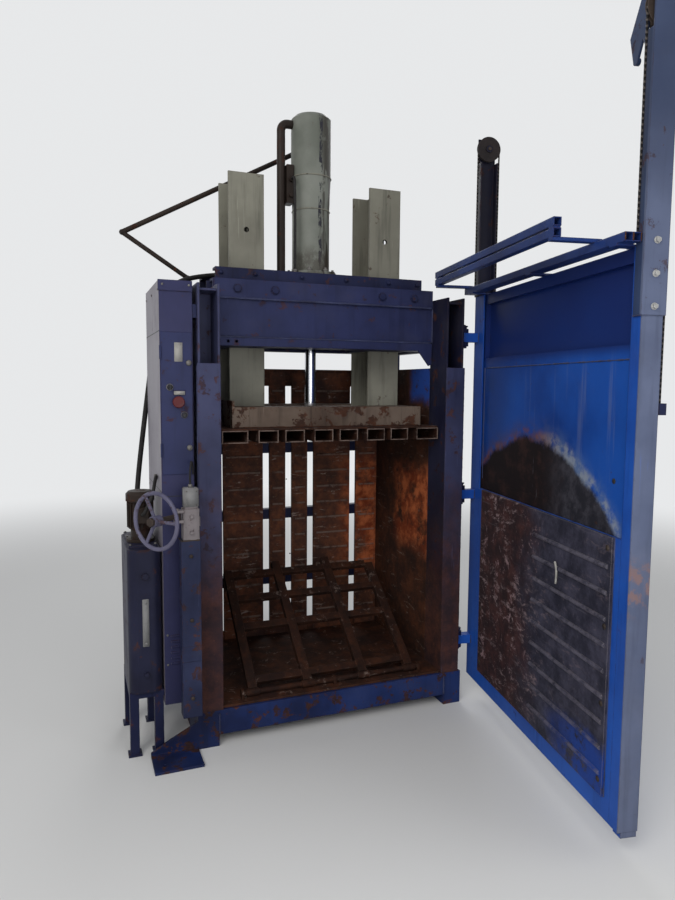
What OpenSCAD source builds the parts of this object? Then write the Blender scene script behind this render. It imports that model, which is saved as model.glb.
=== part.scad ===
// Vertical recycling baler: a chamber with a hinged front door, a lifting gate in that door,
// and a platen that a hydraulic cylinder presses down between two guide columns.
// The origin is on the floor under the middle of the chamber. +X is the viewer's right,
// +Y is the depth away from the door, +Z is up.

/* [Chamber] */
// Clear width between the side walls
chamber_w = 1170; // [1000:10:1300]
// Clear depth from the door jambs' back to the rear wall
chamber_d = 800; // [720:10:900]
// Height of the side walls' top edge
chamber_top = 1800; // [1780:1:1820]
// Thickness of the side and rear wall plates
wall_t = 8; // [6:1:12]
// Height of the chamber floor's top face
floor_z = 185; // [180:1:200]
// Thickness of the floor plate
floor_t = 10; // [8:1:12]

/* [Base] */
// Width of each skid
skid_w = 100; // [80:1:120]
// Height of each skid
skid_h = 150; // [140:1:160]
// Wall of the skid tubes and rails
skid_wall = 8; // [5:1:10]
// Gap from the chamber's side to a skid
skid_inset = 20; // [12:1:30]
// Length of the skids behind the rear wall
skid_rear = 40; // [30:1:100]
// Height of the front sill and the cross rails
rail_h = 120; // [100:1:130]
// Depth of the front sill
sill_d = 60; // [50:1:70]
// Diameter of the anchor holes
anchor_d = 18; // [12:1:24]
// Thickness of the anchor tabs
anchor_t = 12; // [8:1:16]
// Side of the square anchor tabs
anchor_tab = 80; // [60:1:80]
// Reach of the outrigger's foot from the skid
foot_l = 215; // [180:1:240]
// Depth of the outrigger's foot
foot_d = 167; // [140:1:190]

/* [Frame] */
// Width of a front post
post_w = 100; // [90:1:110]
// Depth of a front post behind the jamb plate
post_d = 172; // [150:1:175]
// Thickness of the posts' section
post_t = 10; // [8:1:12]
// Height of the posts' top
post_top = 2155; // [2130:1:2160]
// Distance from the chamber's front edge to the jambs' front face
jamb_reach = 55; // [50:1:60]
// Thickness of the jamb plates
jamb_t = 8; // [6:1:10]
// Width of the jamb plates
jamb_w = 105; // [102:1:110]
// Depth of the side walls' ribs
rib_d = 70; // [50:1:80]
// Height of the side walls' ribs
rib_h = 60; // [40:1:80]
// Number of ribs on each side wall
rib_n = 4; // [3:1:5]
// Distance that the upper side beams are set outwards
beam_inset = 15; // [10:1:20]
// Thickness of the upper side beams
side_beam_t = 50; // [40:1:60]
// Depth of the rear posts
rear_post_d = 100; // [80:1:120]
// Wall of the rear posts, the beams and the tie
box_t = 8; // [6:1:10]
// Wall of the ribs, the rails and the lock bar
rail_t = 5; // [4:1:6]

/* [Rear wall] */
// Width of the strap slots
slot_w = 38; // [30:1:44]
// Height of the strap slots' lower end
slot_low = 240; // [230:1:300]
// Height of the strap slots' upper end
slot_high = 1700; // [1500:1:1750]
// Distance between the pressed beads
bead_pitch = 97; // [90:1:110]
// Radius of the pressed beads
bead_r = 8; // [4:1:9]
// Thickness of the liner panels between the slots
liner_t = 6; // [4:1:8]
// Height of the lowest strap rail
rear_rail_low = 500; // [450:1:550]
// Distance between the strap rails
rear_rail_pitch = 400; // [350:1:410]

/* [Header] */
// Height of the header's lower edge
header_low = 1890; // [1870:1:1900]
// Height of the header's top
header_top = 2204; // [2190:1:2205]
// Setback of the header's web behind the jambs' front face
header_setback = 165; // [150:1:180]
// Thickness of the header's and crosshead's plates
header_t = 12; // [10:1:14]
// Height of the crosshead's top
crosshead_top = 2270; // [2250:1:2290]
// Half depth of the crosshead, from its middle to its front face
crosshead_half = 215; // [205:1:220]
// Width of the crosshead's flanges
crosshead_flange = 68; // [50:1:75]
// Width of the notch at each upper corner of the crosshead
crosshead_notch = 43; // [20:1:50]
// Height of the bar along the header's lower edge
lip_h = 42; // [35:1:50]
// Height of the bar along the header's upper edge
upper_bar_h = 90; // [80:1:100]
// Thickness of the bars on the header
bar_t = 10; // [8:1:12]
// Size across the header bolts' heads
header_bolt = 32; // [24:1:36]
// Diameter of the holes in the header's lower bar
header_hole_d = 14; // [10:1:18]

/* [Ram] */
// Bore of the cylinder
bore_d = 150; // [130:1:160]
// Outer diameter of the barrel's lower length
barrel_d = 198; // [190:1:205]
// Outer diameter of the barrel's upper length
barrel_upper_d = 210; // [204:1:225]
// Length of the barrel below the crosshead's top
barrel_drop = 280; // [270:1:290]
// Height where the barrel starts to widen
taper_low = 2620; // [2500:1:2700]
// Height where the barrel has its full width
taper_high = 2790; // [2750:1:2850]
// Height of the barrel's top
barrel_top = 3103; // [3095:1:3160]
// Diameter of the piston rod
rod_d = 60; // [50:1:70]
// Height of the piston's crown when the platen is at rest
piston_crown = 2950; // [2900:1:2990]
// Height of the piston
piston_h = 90; // [60:1:110]
// Radial running clearance of the rod and the piston
running_gap = 0.05; // [0.02:0.01:0.09]

/* [Platen] */
// Height of the pressing tubes' lower face at rest
platen_z = 1430; // [1400:1:1450]
// Height of the pressing tubes
tube_h = 60; // [50:1:70]
// Wall of the pressing tubes
tube_wall = 5; // [4:1:6]
// Width of the inner pressing tubes
tube_w = 98; // [90:1:99]
// Width of the wide strap gaps
strap_gap = 50; // [40:1:54]
// Width of the narrow gaps
narrow_gap = 34; // [30:1:38]
// Side clearance between platen and chamber walls
platen_gap = 15; // [10:1:20]
// Thickness of the platen's top plate
platen_plate_t = 8; // [6:1:12]
// Height of the platen's cross beams
beam_h = 100; // [80:1:110]
// Depth of the platen's cross beams
beam_d = 200; // [160:1:204]
// Half length of the platen's cross beams
beam_half = 493; // [480:1:500]
// Width of the guide columns
column_w = 180; // [160:1:186]
// Depth of the guide columns
column_d = 240; // [220:1:240]
// Distance of each column's middle from the machine's middle
column_x = 380; // [370:1:390]
// Height of the columns' tops
column_top = 2750; // [2700:1:2850]
// Thickness of the columns' flanges
column_flange = 14; // [10:1:16]
// Thickness of the columns' webs
column_web = 10; // [8:1:14]
// Clearance between a column and its guide
guide_gap = 2; // [1:0.5:3]
// Diameter of the pin holes in the columns
pin_hole_d = 24; // [20:1:30]
// Height of the pin holes
pin_hole_z = 2475; // [2400:1:2600]

/* [Door] */
// Distance of the hinge axis from the chamber's side wall
hinge_gap = 135; // [133:1:140]
// Distance of the hinge axis behind the jambs' front face
hinge_back = 65; // [60:1:70]
// Angle that the door stands open
open_angle = 80; // [60:1:90]
// Distance from the hinge axis to the free post's outer face
door_l = 1385; // [1380:1:1388]
// Depth of the door posts
door_post_d = 80; // [70:1:84]
// Gap between the jambs and the closed door
door_gap = 7; // [5:1:9]
// Height of the door's lower edge
door_low = 120; // [100:1:140]
// Height of the lower door's top
lower_door_top = 1172; // [1150:1:1180]
// Height of the door's rails
door_rail = 60; // [50:1:70]
// Height of the door posts' top
door_top = 2175; // [2170:1:2178]
// Thickness of the door posts' section
door_t = 6; // [5:1:7]
// Width of the guide channels that hold the gate
guide_w = 55; // [50:1:60]
// Half width of the box section on the hinge side
hinge_box = 30; // [28:1:32]
// Thickness of the wear plate
wear_t = 12; // [8:1:14]
// Lower edge of the wear plate
wear_low = 205; // [200:1:240]
// Gap between the wear plate and the chamber's sides
wear_gap = 10; // [8:1:14]
// Length of the free mast beside the door's post
mast_lap = 232; // [200:1:260]
// Height of the masts' top
mast_top = 2980; // [2970:1:3000]
// Thickness of the masts' section
mast_t = 6; // [5:1:7]
// Width of the masts' flanges
mast_flange = 40; // [36:1:44]
// Size across the free mast's bolt heads
mast_bolt = 18; // [16:1:24]
// Diameter of the hinge pins
hinge_pin_d = 30; // [24:1:34]
// Height of the lowest hinge above the door's lower edge
hinge_rise = 210; // [180:1:240]
// Distance of the middle hinge below the lower door's top
hinge_drop = 42; // [38:1:46]
// Distance of the highest hinge below the door's top
hinge_high_drop = 215; // [200:1:230]

/* [Gate] */
// Thickness of the gate
gate_t = 60; // [50:1:62]
// Height of the gate's rails
gate_rail = 50; // [40:1:60]
// Height of the gate's middle rail
gate_mid = 1800; // [1700:1:1850]
// Wall of the gate's tubes
gate_wall = 4; // [3:1:5]
// Side of the square tubes on the gate
square = 30; // [25:1:30]
// Distance of the outer tube pair from the hinge axis
outer_pair_v = 130; // [125:1:132]
// Length of the outer tube pair past the hinge axis
outer_pair_l = 1205; // [1150:1:1250]

/* [Counterweight] */
// Radius of the rope's line on the sheaves
sheave_r = 57; // [50:1:60]
// Thickness of the sheaves
sheave_t = 14; // [12:1:14]
// Diameter of the ropes
rope_d = 8; // [5:1:10]
// Height of the sheaves' axle
sheave_z = 2925; // [2920:1:2930]
// Diameter of the sheaves' axles
axle_d = 20; // [16:1:22]
// Gap between the masts and what travels along them
slide_gap = 4; // [3:1:5]
// Height of the counterweight plate
weight_h = 300; // [250:1:350]
// Thickness of the counterweight plate
weight_t = 28; // [20:1:40]
// Height of the counterweight's top when the gate is down
weight_top = 1650; // [1600:1:1700]

/* [Ejector] */
// Angle that the tray is raised
tray_angle = 38; // [20:1:40]
// Distance of the tray's hinge behind the jambs' back
tray_back = 14; // [10:1:30]
// Length of the tray from its hinge to its rear bar's far side
tray_l = 725; // [700:1:727]
// Length of the middle bars past the rear bar
tray_tip = 39; // [30:1:40]
// Distance between the outer bars' middles
tray_w = 850; // [800:1:900]
// Width of the tray's bars
bar_w = 45; // [35:1:50]
// Height of the tray's bars
bar_h = 36; // [30:1:38]
// Diameter of the tray's hinge rod
tray_rod_d = 26; // [20:1:28]

/* [Lock] */
// Width of the lock bar
lock_w = 85; // [75:1:86]
// Depth of the lock bar
lock_d = 65; // [55:1:65]
// Height of the lock bar's lower end
lock_low = 210; // [180:1:240]
// Height of the lock bar's upper end
lock_high = 1020; // [1000:1:1030]
// Outer radius of the handwheel
wheel_r = 128; // [110:1:140]
// Radius of the handwheel's rim
rim_r = 9; // [7:1:11]
// Height of the handwheel's middle
wheel_z = 1131; // [1120:1:1140]
// Diameter of the lock spindle
spindle_d = 24; // [18:1:26]
// Distance of the handwheel's hub from the spindle's eye
wheel_reach = 107; // [100:1:115]
// Diameter of the lock's hinge pins
lock_pin_d = 14; // [12:1:16]
// Distance of the lock's hinge from the left post
lock_gap = 18; // [16:1:22]
// Distance of the lock's hinge in front of the jambs
lock_front = 11; // [10:1:14]

/* [Cabinet] */
// Width of the control cabinet
cabinet_w = 145; // [130:1:160]
// Depth of the control cabinet
cabinet_d = 520; // [450:1:560]
// Height of the cabinet's top
cabinet_top = 2160; // [2100:1:2180]
// Height of the cabinet's lower edge
cabinet_low = 230; // [220:1:260]
// Thickness of the cabinet's sheet
sheet_t = 3; // [2:0.5:4]
// Gap between the left post and the cabinet
cabinet_gap = 20; // [16:1:24]
// Distance of the cabinet's front behind the jambs' front face
cabinet_back = 25; // [20:1:30]
// Height of the cabinet door's lower edge
panel_low = 1300; // [1280:1:1340]
// Height of the cabinet door's upper edge
panel_high = 1935; // [1900:1:1940]
// Height of the emergency stop's middle
stop_z = 1626; // [1600:1:1640]
// Height of the push button's middle
button_z = 1568; // [1540:1:1580]
// Height of the selector's middle
selector_z = 1692; // [1680:1:1720]
// Distance of the emergency stop from the cabinet's left side
stop_x = 77; // [70:1:80]
// Distance of the push button from the cabinet's left side
button_x = 103; // [100:1:110]
// Distance of the selector from the cabinet's left side
selector_x = 41; // [36:1:45]
// Diameter of the controls' stems
stem_d = 14; // [12:1:16]

/* [Hydraulics] */
// Width of the oil tank
tank_w = 150; // [130:1:170]
// Depth of the oil tank
tank_d = 400; // [350:1:420]
// Height of the oil tank's lower face
tank_low = 300; // [280:1:320]
// Height of the oil tank's upper face
tank_high = 965; // [940:1:980]
// Corner radius of the oil tank
tank_r = 45; // [20:1:60]
// Diameter of the pump's motor
motor_d = 130; // [110:1:140]
// Diameter of the supply pipe
supply_d = 44; // [36:1:48]
// Diameter of the bent return pipe
return_d = 26; // [20:1:30]
// Height of the return pipe's upper end
return_top = 2992; // [2960:1:3040]
// Distance of the return pipe behind the cylinder's middle
return_y = 180; // [160:1:200]
// Distance of the return pipe's bend from the machine's middle
return_reach = 952; // [900:1:980]
// Height of the return pipe's bend
return_bend_z = 2474; // [2440:1:2520]

/* [Hidden] */
$fn = 48;
half_w = chamber_w / 2;
half_d = chamber_d / 2;
front_y = -half_d - jamb_reach;
channel_y = front_y + jamb_t;
post_back = channel_y + post_d;
rail_top = floor_z - floor_t;
skid_x = half_w + skid_inset;
skid_out = skid_x + skid_w;
rear_y = half_d + wall_t;
rail_low = rail_top - rail_h;
wall_out = half_w + wall_t;
post_out = half_w + post_w;
rear_post_front = rear_y - rear_post_d;
strap_x = narrow_gap / 2 + tube_w + strap_gap / 2;
slot_xs = [-3 * strap_x, -strap_x, 0, strap_x, 3 * strap_x];
rib_low = chamber_top / 6;
rib_step = (chamber_top - rib_low) / rib_n;
header_y = front_y + header_setback;
header_h = header_top - header_low;
beam_x = half_w + beam_inset;
guide_in = column_x - column_w / 2 - guide_gap;
guide_out = column_x + column_w / 2 + guide_gap;
guide_y = column_d / 2 + guide_gap;
guide_edge = crosshead_half - crosshead_flange;
guide_side = column_w / 9;
barrel_flange = barrel_d * 15 / 11;
barrel_low = crosshead_top - barrel_drop;
taper_h = taper_high - taper_low;
mount_t = 2.5 * header_t;
gland_h = 3 * mount_t;
platen_top = platen_z + tube_h + platen_plate_t;
platen_front = -half_d;
platen_rear = half_d - strap_gap / 2;
platen_half = half_w - platen_gap;
hinge_x = half_w + hinge_gap;
hinge_y = front_y + hinge_back;
face_v = -hinge_back - door_gap;
back_v = face_v - door_post_d;
free_guide_u = door_l - guide_w;
hinge_guide_u = hinge_box + guide_w;
gate_in_v = face_v - door_t - (door_post_d - 2 * door_t - gate_t) / 2;
gate_out_v = gate_in_v - gate_t;
gate_low = lower_door_top + 0.3;
gate_u0 = hinge_box + 2.5 * door_t;
gate_u1 = door_l - 2.5 * door_t;
lower_door_h = lower_door_top - door_low;
hinge_zs = [door_low + hinge_rise, lower_door_top - hinge_drop, door_top - hinge_high_drop];
lug_r = 0.8 * hinge_pin_d;
lug_t = hinge_pin_d * 2 / 3;
knuckle_h = 1.6 * hinge_pin_d;
pair_z = door_top + square * 7 / 30;
pair_rise = square * 43 / 30;
mast_low = door_top - mast_lap;
mast_in_v = face_v + mast_t;
mast_back_v = back_v - mast_t;
pair_v = mast_in_v + slide_gap;
chain_v = pair_v + 0.75 * rope_d;
sheave_v = chain_v - sheave_r;
chain_back_v = sheave_v - sheave_r;
sheave_us = [2 * sheave_t - hinge_box, door_l - sheave_t - mast_t];
flange_top = sheave_z - sheave_r - 1.6 * rope_d;
weight_v = mast_back_v - slide_gap;
weight_end = door_l - 2.125 * mast_flange;
lock_pivot_x = -post_out - lock_gap;
lock_pivot_y = front_y - lock_front;
lock_back = lock_pivot_y - 1.5 * lock_pin_d;
lock_in = lock_pivot_x + lock_pin_d / 7;
lock_span = lock_high - lock_low;
lock_zs = [lock_low + 0.316 * lock_span, lock_low + 0.589 * lock_span, lock_high + 5 * lock_pin_d];
head_x = lock_in - 0.87 * lock_w;
eye_x = lock_in - lock_w - spindle_d * 7 / 12;
eye_y = lock_back - lock_d + spindle_d / 12;
hub_l = 1.75 * spindle_d;
wheel_dir = 38.5;
cabinet_in = -post_out - cabinet_gap;
cabinet_x = cabinet_in - cabinet_w;
cabinet_y = front_y + cabinet_back;
panel_y = cabinet_y - 0.3;
tank_x = cabinet_x - sheet_t * 5 / 3 - tank_w;
tank_leg = tank_w * 4 / 15;
ear_r = tray_rod_d * 11 / 13;
ear_t = bar_h / 3;
tray_y = -half_d + tray_back;
tray_z = floor_z + ear_r;

// A block between two corners
module slab(x0, x1, y0, y1, z0, z1) {
    translate([x0, y0, z0]) cube([x1 - x0, y1 - y0, z1 - z0]);
}

// A rectangular tube that is open at both ends along X
module tube_x(x0, x1, y0, y1, z0, z1, t) {
    difference() {
        slab(x0, x1, y0, y1, z0, z1);
        slab(x0 - 1, x1 + 1, y0 + t, y1 - t, z0 + t, z1 - t);
    }
}

// A rectangular tube that is open at both ends along Y
module tube_y(x0, x1, y0, y1, z0, z1, t) {
    difference() {
        slab(x0, x1, y0, y1, z0, z1);
        slab(x0 + t, x1 - t, y0 - 1, y1 + 1, z0 + t, z1 - t);
    }
}

// A rectangular tube that is open at both ends along Z
module tube_z(x0, x1, y0, y1, z0, z1, t) {
    difference() {
        slab(x0, x1, y0, y1, z0, z1);
        slab(x0 + t, x1 - t, y0 + t, y1 - t, z0 - 1, z1 + 1);
    }
}

// A hexagon bolt head whose axis points towards -Y
module hex_head(size, h) {
    rotate([90, 0, 0]) cylinder(d = size * 1.155, h = h, $fn = 6);
}

// A round bar from one point to another
module bar_between(a, b, d) {
    v = b - a;
    l = norm(v);
    translate(a) rotate([0, acos(v[2] / l), atan2(v[1], v[0])]) cylinder(d = d, h = l);
}

// Children are given with the door closed: -X along the door, Y into the chamber
module on_door() {
    translate([hinge_x, hinge_y, 0]) rotate([0, 0, open_angle]) children();
}

// A block in the door's coordinates: along the door, through it, and up
module door_slab(u0, u1, v0, v1, z0, z1) {
    slab(-u1, -u0, v0, v1, z0, z1);
}

// Two skids, three cross rails, pads under the posts, anchor tabs and the outrigger
module base_frame() {
    color([0.10, 0.18, 0.50]) {
        for (s = [-1, 1]) {
            difference() {
                slab(min(s * skid_x, s * skid_out), max(s * skid_x, s * skid_out),
                    front_y, rear_y + skid_rear, 0, skid_h);
                slab(min(s * (skid_x + skid_wall), s * (skid_out - skid_wall)),
                    max(s * (skid_x + skid_wall), s * (skid_out - skid_wall)),
                    front_y + skid_wall, rear_y + skid_rear + 1, skid_wall, skid_h - skid_wall);
            }
            slab(min(s * skid_x, s * skid_out), max(s * skid_x, s * skid_out),
                front_y, post_back, skid_h, rail_top);
            slab(min(s * skid_x, s * skid_out), max(s * skid_x, s * skid_out),
                rear_post_front, rear_y, skid_h, rail_top);
            anchor_foot(s, 0.85 * half_d);
        }
        anchor_foot(1, -0.7 * half_d);
        tube_x(-skid_x, skid_x, front_y, front_y + sill_d, rail_low, rail_top, skid_wall);
        tube_x(-skid_x, skid_x, -skid_w / 2, skid_w / 2, 0, rail_top, skid_wall);
        tube_x(-skid_x, skid_x, half_d - sill_d, half_d, rail_low, rail_top, skid_wall);
        outrigger();
    }
}

// A tab with an anchor hole on a skid's outer side, with a triangular gusset
module anchor_foot(s, y) {
    difference() {
        slab(min(s * skid_out, s * (skid_out + anchor_tab)),
            max(s * skid_out, s * (skid_out + anchor_tab)),
            y - anchor_tab / 2, y + anchor_tab / 2, 0, anchor_t);
        translate([s * (skid_out + anchor_tab / 2), y, -1]) cylinder(d = anchor_d, h = anchor_t + 2);
    }
    translate([s * skid_out, y + anchor_tab / 2, 0]) rotate([90, 0, 0])
        linear_extrude(skid_wall) polygon([[0, 0], [s * anchor_tab, 0],
            [s * anchor_tab, anchor_t * 4 / 3], [0, 0.87 * skid_h]]);
}

// The foot plate beside the left skid's front end, with its gusset
module outrigger() {
    y = front_y + anchor_t;
    difference() {
        slab(-skid_out - foot_l, -skid_out, y - foot_d, y, 0, anchor_t);
        translate([-skid_out - foot_l * 33 / 43, y - foot_d * 117 / 167, -1])
            cylinder(d = anchor_d, h = anchor_t + 2);
    }
    translate([-skid_out, y, 0]) rotate([90, 0, 0]) linear_extrude(anchor_t)
        polygon([[0, 0], [-foot_l, 0], [-foot_l, 1.8 * anchor_t], [-0.6 * foot_l, 0.47 * skid_h],
            [0, 0.9 * skid_h]]);
}

module floor_plate() {
    color([0.22, 0.16, 0.12])
        slab(-half_w, half_w, front_y + sill_d / 4, half_d, rail_top, floor_z);
}

// One front post: a channel that is open towards the front
module post(s) {
    mirror([s < 0 ? 1 : 0, 0, 0]) {
        translate([0, 0, rail_top]) linear_extrude(post_top - rail_top)
            polygon([[half_w, channel_y], [half_w + post_t, channel_y],
                [half_w + post_t, post_back - post_t], [post_out - post_t, post_back - post_t],
                [post_out - post_t, channel_y], [post_out, channel_y],
                [post_out, post_back], [half_w, post_back]]);
        for (z = [rail_top + 2 * post_t, chamber_top - 4 * post_t, post_top - 3 * post_t])
            slab(half_w + post_t, post_out - post_t, channel_y + 2 * post_t, post_back - post_t,
                z, z + post_t);
    }
}

module post_left() {
    color([0.10, 0.16, 0.42]) post(-1);
}

module post_right() {
    color([0.10, 0.16, 0.42]) post(1);
}

// Plates over the posts' open sides, up to the side walls' height
module jamb_plates() {
    color([0.12, 0.20, 0.50])
        for (s = [-1, 1]) mirror([s < 0 ? 1 : 0, 0, 0])
            slab(half_w, half_w + jamb_w, front_y, channel_y, rail_top, chamber_top);
}

// One side wall with its horizontal ribs on the outside
module wall(s) {
    mirror([s < 0 ? 1 : 0, 0, 0]) {
        slab(half_w, wall_out, post_back, half_d, rail_top, chamber_top);
        for (k = [0 : rib_n - 1])
            tube_y(wall_out, wall_out + rib_d, post_back, rear_post_front,
                rib_low + k * rib_step, rib_low + k * rib_step + rib_h, rail_t);
        slab(wall_out, wall_out + side_beam_t, post_back, rear_post_front,
            chamber_top - wall_t, chamber_top);
    }
}

module wall_left() {
    color([0.16, 0.14, 0.20]) wall(-1);
}

module wall_right() {
    color([0.16, 0.14, 0.20]) wall(1);
}

// The rear wall with a strap slot behind each gap of the platen
module rear_wall() {
    color([0.20, 0.15, 0.12]) difference() {
        slab(-wall_out, wall_out, half_d, rear_y, rail_top, chamber_top);
        for (x = slot_xs)
            slab(x - slot_w / 2, x + slot_w / 2, half_d - 1, rear_y + 1, slot_low, slot_high);
    }
}

// Panels between the strap slots, pressed with horizontal beads
module rear_liner() {
    edge = (slot_w + liner_t) / 2;
    side = half_w - liner_t / 2;
    color([0.30, 0.20, 0.14])
        for (k = [0 : 5]) {
            x0 = k == 0 ? -side : slot_xs[k - 1] + edge;
            x1 = k == 5 ? side : slot_xs[k] - edge;
            slab(x0, x1, half_d - liner_t, half_d, floor_z + floor_t / 2, chamber_top - 2 * floor_t);
            for (z = [floor_z + 1.32 * bead_pitch : bead_pitch : chamber_top - 0.62 * bead_pitch])
                translate([x0 + 2 * bead_r, half_d - liner_t, z]) rotate([0, 90, 0])
                    difference() {
                        cylinder(r = bead_r, h = x1 - x0 - 4 * bead_r, $fn = 24);
                        translate([-bead_r - 1, 0, -1]) cube([2 * bead_r + 2, bead_r + 1,
                            x1 - x0]);
                    }
        }
}

// Rear posts with the tie and the strap rails between them
module rear_frame() {
    color([0.10, 0.17, 0.45]) {
        for (s = [-1, 1]) mirror([s < 0 ? 1 : 0, 0, 0])
            tube_z(wall_out, wall_out + post_w, rear_post_front, rear_y, rail_top, post_top, box_t);
        tube_x(-wall_out, wall_out, rear_y - 0.8 * rear_post_d, rear_y,
            header_low + 0.19 * header_h, header_low + 0.57 * header_h, box_t);
        for (k = [0 : 3])
            translate([0, rear_y, rear_rail_low + k * rear_rail_pitch])
                tube_x(-wall_out - post_w, wall_out + post_w, 0, rear_post_d / 2, 0, rib_h, rail_t);
    }
}

// Box beams from the front posts to the rear posts
module side_beams() {
    color([0.10, 0.17, 0.45])
        for (s = [-1, 1]) mirror([s < 0 ? 1 : 0, 0, 0])
            tube_y(beam_x, beam_x + side_beam_t, post_back, rear_post_front,
                header_low, post_top, box_t);
}

// The header between the posts: a channel with a bar along each edge
module header_beam() {
    side = half_w - bar_t / 2;
    color([0.11, 0.19, 0.50]) {
        difference() {
            union() {
                slab(-half_w, half_w, header_y, header_y + header_t, header_low, header_top);
                slab(-side, side, header_y - bar_t, header_y, header_low, header_low + lip_h);
                slab(-side, side, header_y - bar_t, header_y, header_top - upper_bar_h, header_top);
            }
            for (x = [2.5 * bar_t, 7 * bar_t, 11 * bar_t])
                translate([x - half_w, header_y + header_t + 1, header_low + lip_h / 2])
                    rotate([90, 0, 0]) cylinder(d = header_hole_d, h = header_t + bar_t + 2);
        }
        for (z = [header_low, header_top - header_t])
            slab(-half_w, half_w, header_y + header_t, -crosshead_half, z, z + header_t);
        translate([half_w, header_y, header_low]) rotate([90, 0, 0]) linear_extrude(bar_t)
            polygon([[-0.5 * bar_t, 0], [-0.5 * bar_t, -7 * bar_t], [-2.2 * bar_t, -7.8 * bar_t],
                [-8.5 * bar_t, 0]]);
    }
}

module header_bolts() {
    color([0.16, 0.20, 0.36])
        for (x = [-0.803, -0.487, 0.487, 0.803])
            translate([x * half_w, header_y - bar_t, header_top - upper_bar_h / 2]) {
                rotate([90, 0, 0]) cylinder(d = 1.375 * header_bolt, h = 0.3 * bar_t);
                translate([0, -0.3 * bar_t, 0]) hex_head(header_bolt, bar_t);
            }
}

// Two channels across the frame that carry the cylinder and guide the columns
module crosshead() {
    rib = 0.735 * crosshead_flange;
    h = crosshead_top - header_low - 2 * header_t;
    color([0.10, 0.17, 0.45])
        for (s = [-1, 1]) mirror([0, s > 0 ? 1 : 0, 0]) {
            difference() {
                slab(-beam_x, beam_x, -crosshead_half, -crosshead_half + header_t,
                    header_low, crosshead_top);
                for (m = [0, 1]) mirror([m, 0, 0])
                    slab(beam_x - crosshead_notch, beam_x + 1, -crosshead_half - 1,
                        -crosshead_half + header_t + 1, crosshead_top - 1.03 * crosshead_flange,
                        crosshead_top + 1);
            }
            for (z = [header_low, crosshead_top - header_t])
                slab(-beam_x + crosshead_notch, beam_x - crosshead_notch,
                    -crosshead_half + header_t, -crosshead_half + crosshead_flange,
                    z, z + header_t);
            for (m = [0, 1]) mirror([m, 0, 0])
                translate([guide_out + 1.5 * guide_side, -crosshead_half + header_t,
                    header_low + header_t]) rotate([90, 0, 90]) linear_extrude(header_t)
                        polygon([[0, 0], [rib, 0], [0.3 * rib, h / 2], [rib, h - header_t / 2],
                            [rib, h], [0, h]]);
        }
}

// Box guides around the columns
module column_guides() {
    color([0.09, 0.14, 0.36])
        for (s = [-1, 1]) mirror([s < 0 ? 1 : 0, 0, 0])
            difference() {
                slab(guide_in - guide_side, guide_out + guide_side, -guide_edge, guide_edge,
                    header_low, crosshead_top);
                slab(guide_in, guide_out, -guide_y, guide_y, header_low - 1, crosshead_top + 1);
            }
}

// Two plates between the guides, joined by ribs, that hold the cylinder
module cylinder_mount() {
    x = guide_in - guide_side;
    rib = 1.01 * barrel_d;
    color([0.10, 0.17, 0.45]) {
        for (z = [barrel_low, crosshead_top - mount_t])
            difference() {
                slab(-x, x, -guide_edge, guide_edge, z, z + mount_t);
                translate([0, 0, z - 1]) cylinder(d = barrel_d, h = mount_t + 2, $fn = 72);
            }
        for (m = [0, 1]) mirror([m, 0, 0])
            slab(rib - header_t, rib, -guide_edge, guide_edge, barrel_low + mount_t,
                crosshead_top - mount_t);
    }
}

// The cylinder's barrel: a stepped tube with a mounting flange and a closed head
module barrel() {
    chamfer = 0.08 * barrel_upper_d;
    color([0.60, 0.60, 0.52]) {
        difference() {
            rotate_extrude($fn = 72)
                polygon([[bore_d / 2, barrel_low], [barrel_d / 2, barrel_low],
                    [barrel_d / 2, crosshead_top], [barrel_flange / 2, crosshead_top],
                    [barrel_flange / 2, crosshead_top + mount_t],
                    [barrel_d / 2, crosshead_top + mount_t],
                    [barrel_d / 2, taper_low], [barrel_upper_d / 2, taper_high],
                    [barrel_upper_d / 2, barrel_top - chamfer],
                    [barrel_upper_d / 2 - chamfer, barrel_top], [0, barrel_top],
                    [0, barrel_top - mount_t], [bore_d / 2, barrel_top - mount_t]]);
            translate([mount_t / 6 - bore_d / 2, 0, barrel_top - 1.6 * mount_t])
                rotate([0, -90, 0]) cylinder(d = 0.6 * mount_t, h = 2 * mount_t);
        }
    }
}

// The gland in the barrel's lower end, bored for the rod
module gland() {
    lip = gland_h / 3;
    color([0.42, 0.42, 0.40]) {
        difference() {
            union() {
                translate([0, 0, barrel_low - lip]) cylinder(d = barrel_d, h = lip, $fn = 72);
                translate([0, 0, barrel_low]) cylinder(d = bore_d, h = gland_h - lip, $fn = 72);
            }
            translate([0, 0, barrel_low - lip - 1])
                cylinder(d = rod_d + 2 * running_gap, h = gland_h + 2, $fn = 72);
        }
        for (a = [0 : 60 : 300])
            rotate([0, 0, a + 30]) translate([0.43 * barrel_d, 0, barrel_low - lip * 4 / 3])
                cylinder(d = 0.08 * barrel_d, h = lip / 3, $fn = 6);
    }
}

// The pipe from the crosshead to the cylinder's head, with an elbow and a flange
module supply_pipe() {
    x = -barrel_flange / 2 - 0.68 * supply_d;
    bend = 0.82 * supply_d;
    foot = 0.32 * supply_d;
    top = barrel_top - 1.6 * mount_t;
    color([0.20, 0.15, 0.12]) {
        translate([x, 0, crosshead_top]) cylinder(d = 1.27 * supply_d, h = foot);
        translate([x, 0, crosshead_top + foot])
            cylinder(d = supply_d, h = top - bend - crosshead_top - foot);
        translate([x + bend, 0, top - bend]) rotate([90, 0, 180]) rotate_extrude(angle = 90)
            translate([bend, 0]) circle(d = supply_d);
        translate([x + bend, 0, top]) rotate([0, 90, 0])
            cylinder(d = supply_d, h = -barrel_upper_d / 2 - x - bend);
    }
}

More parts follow.
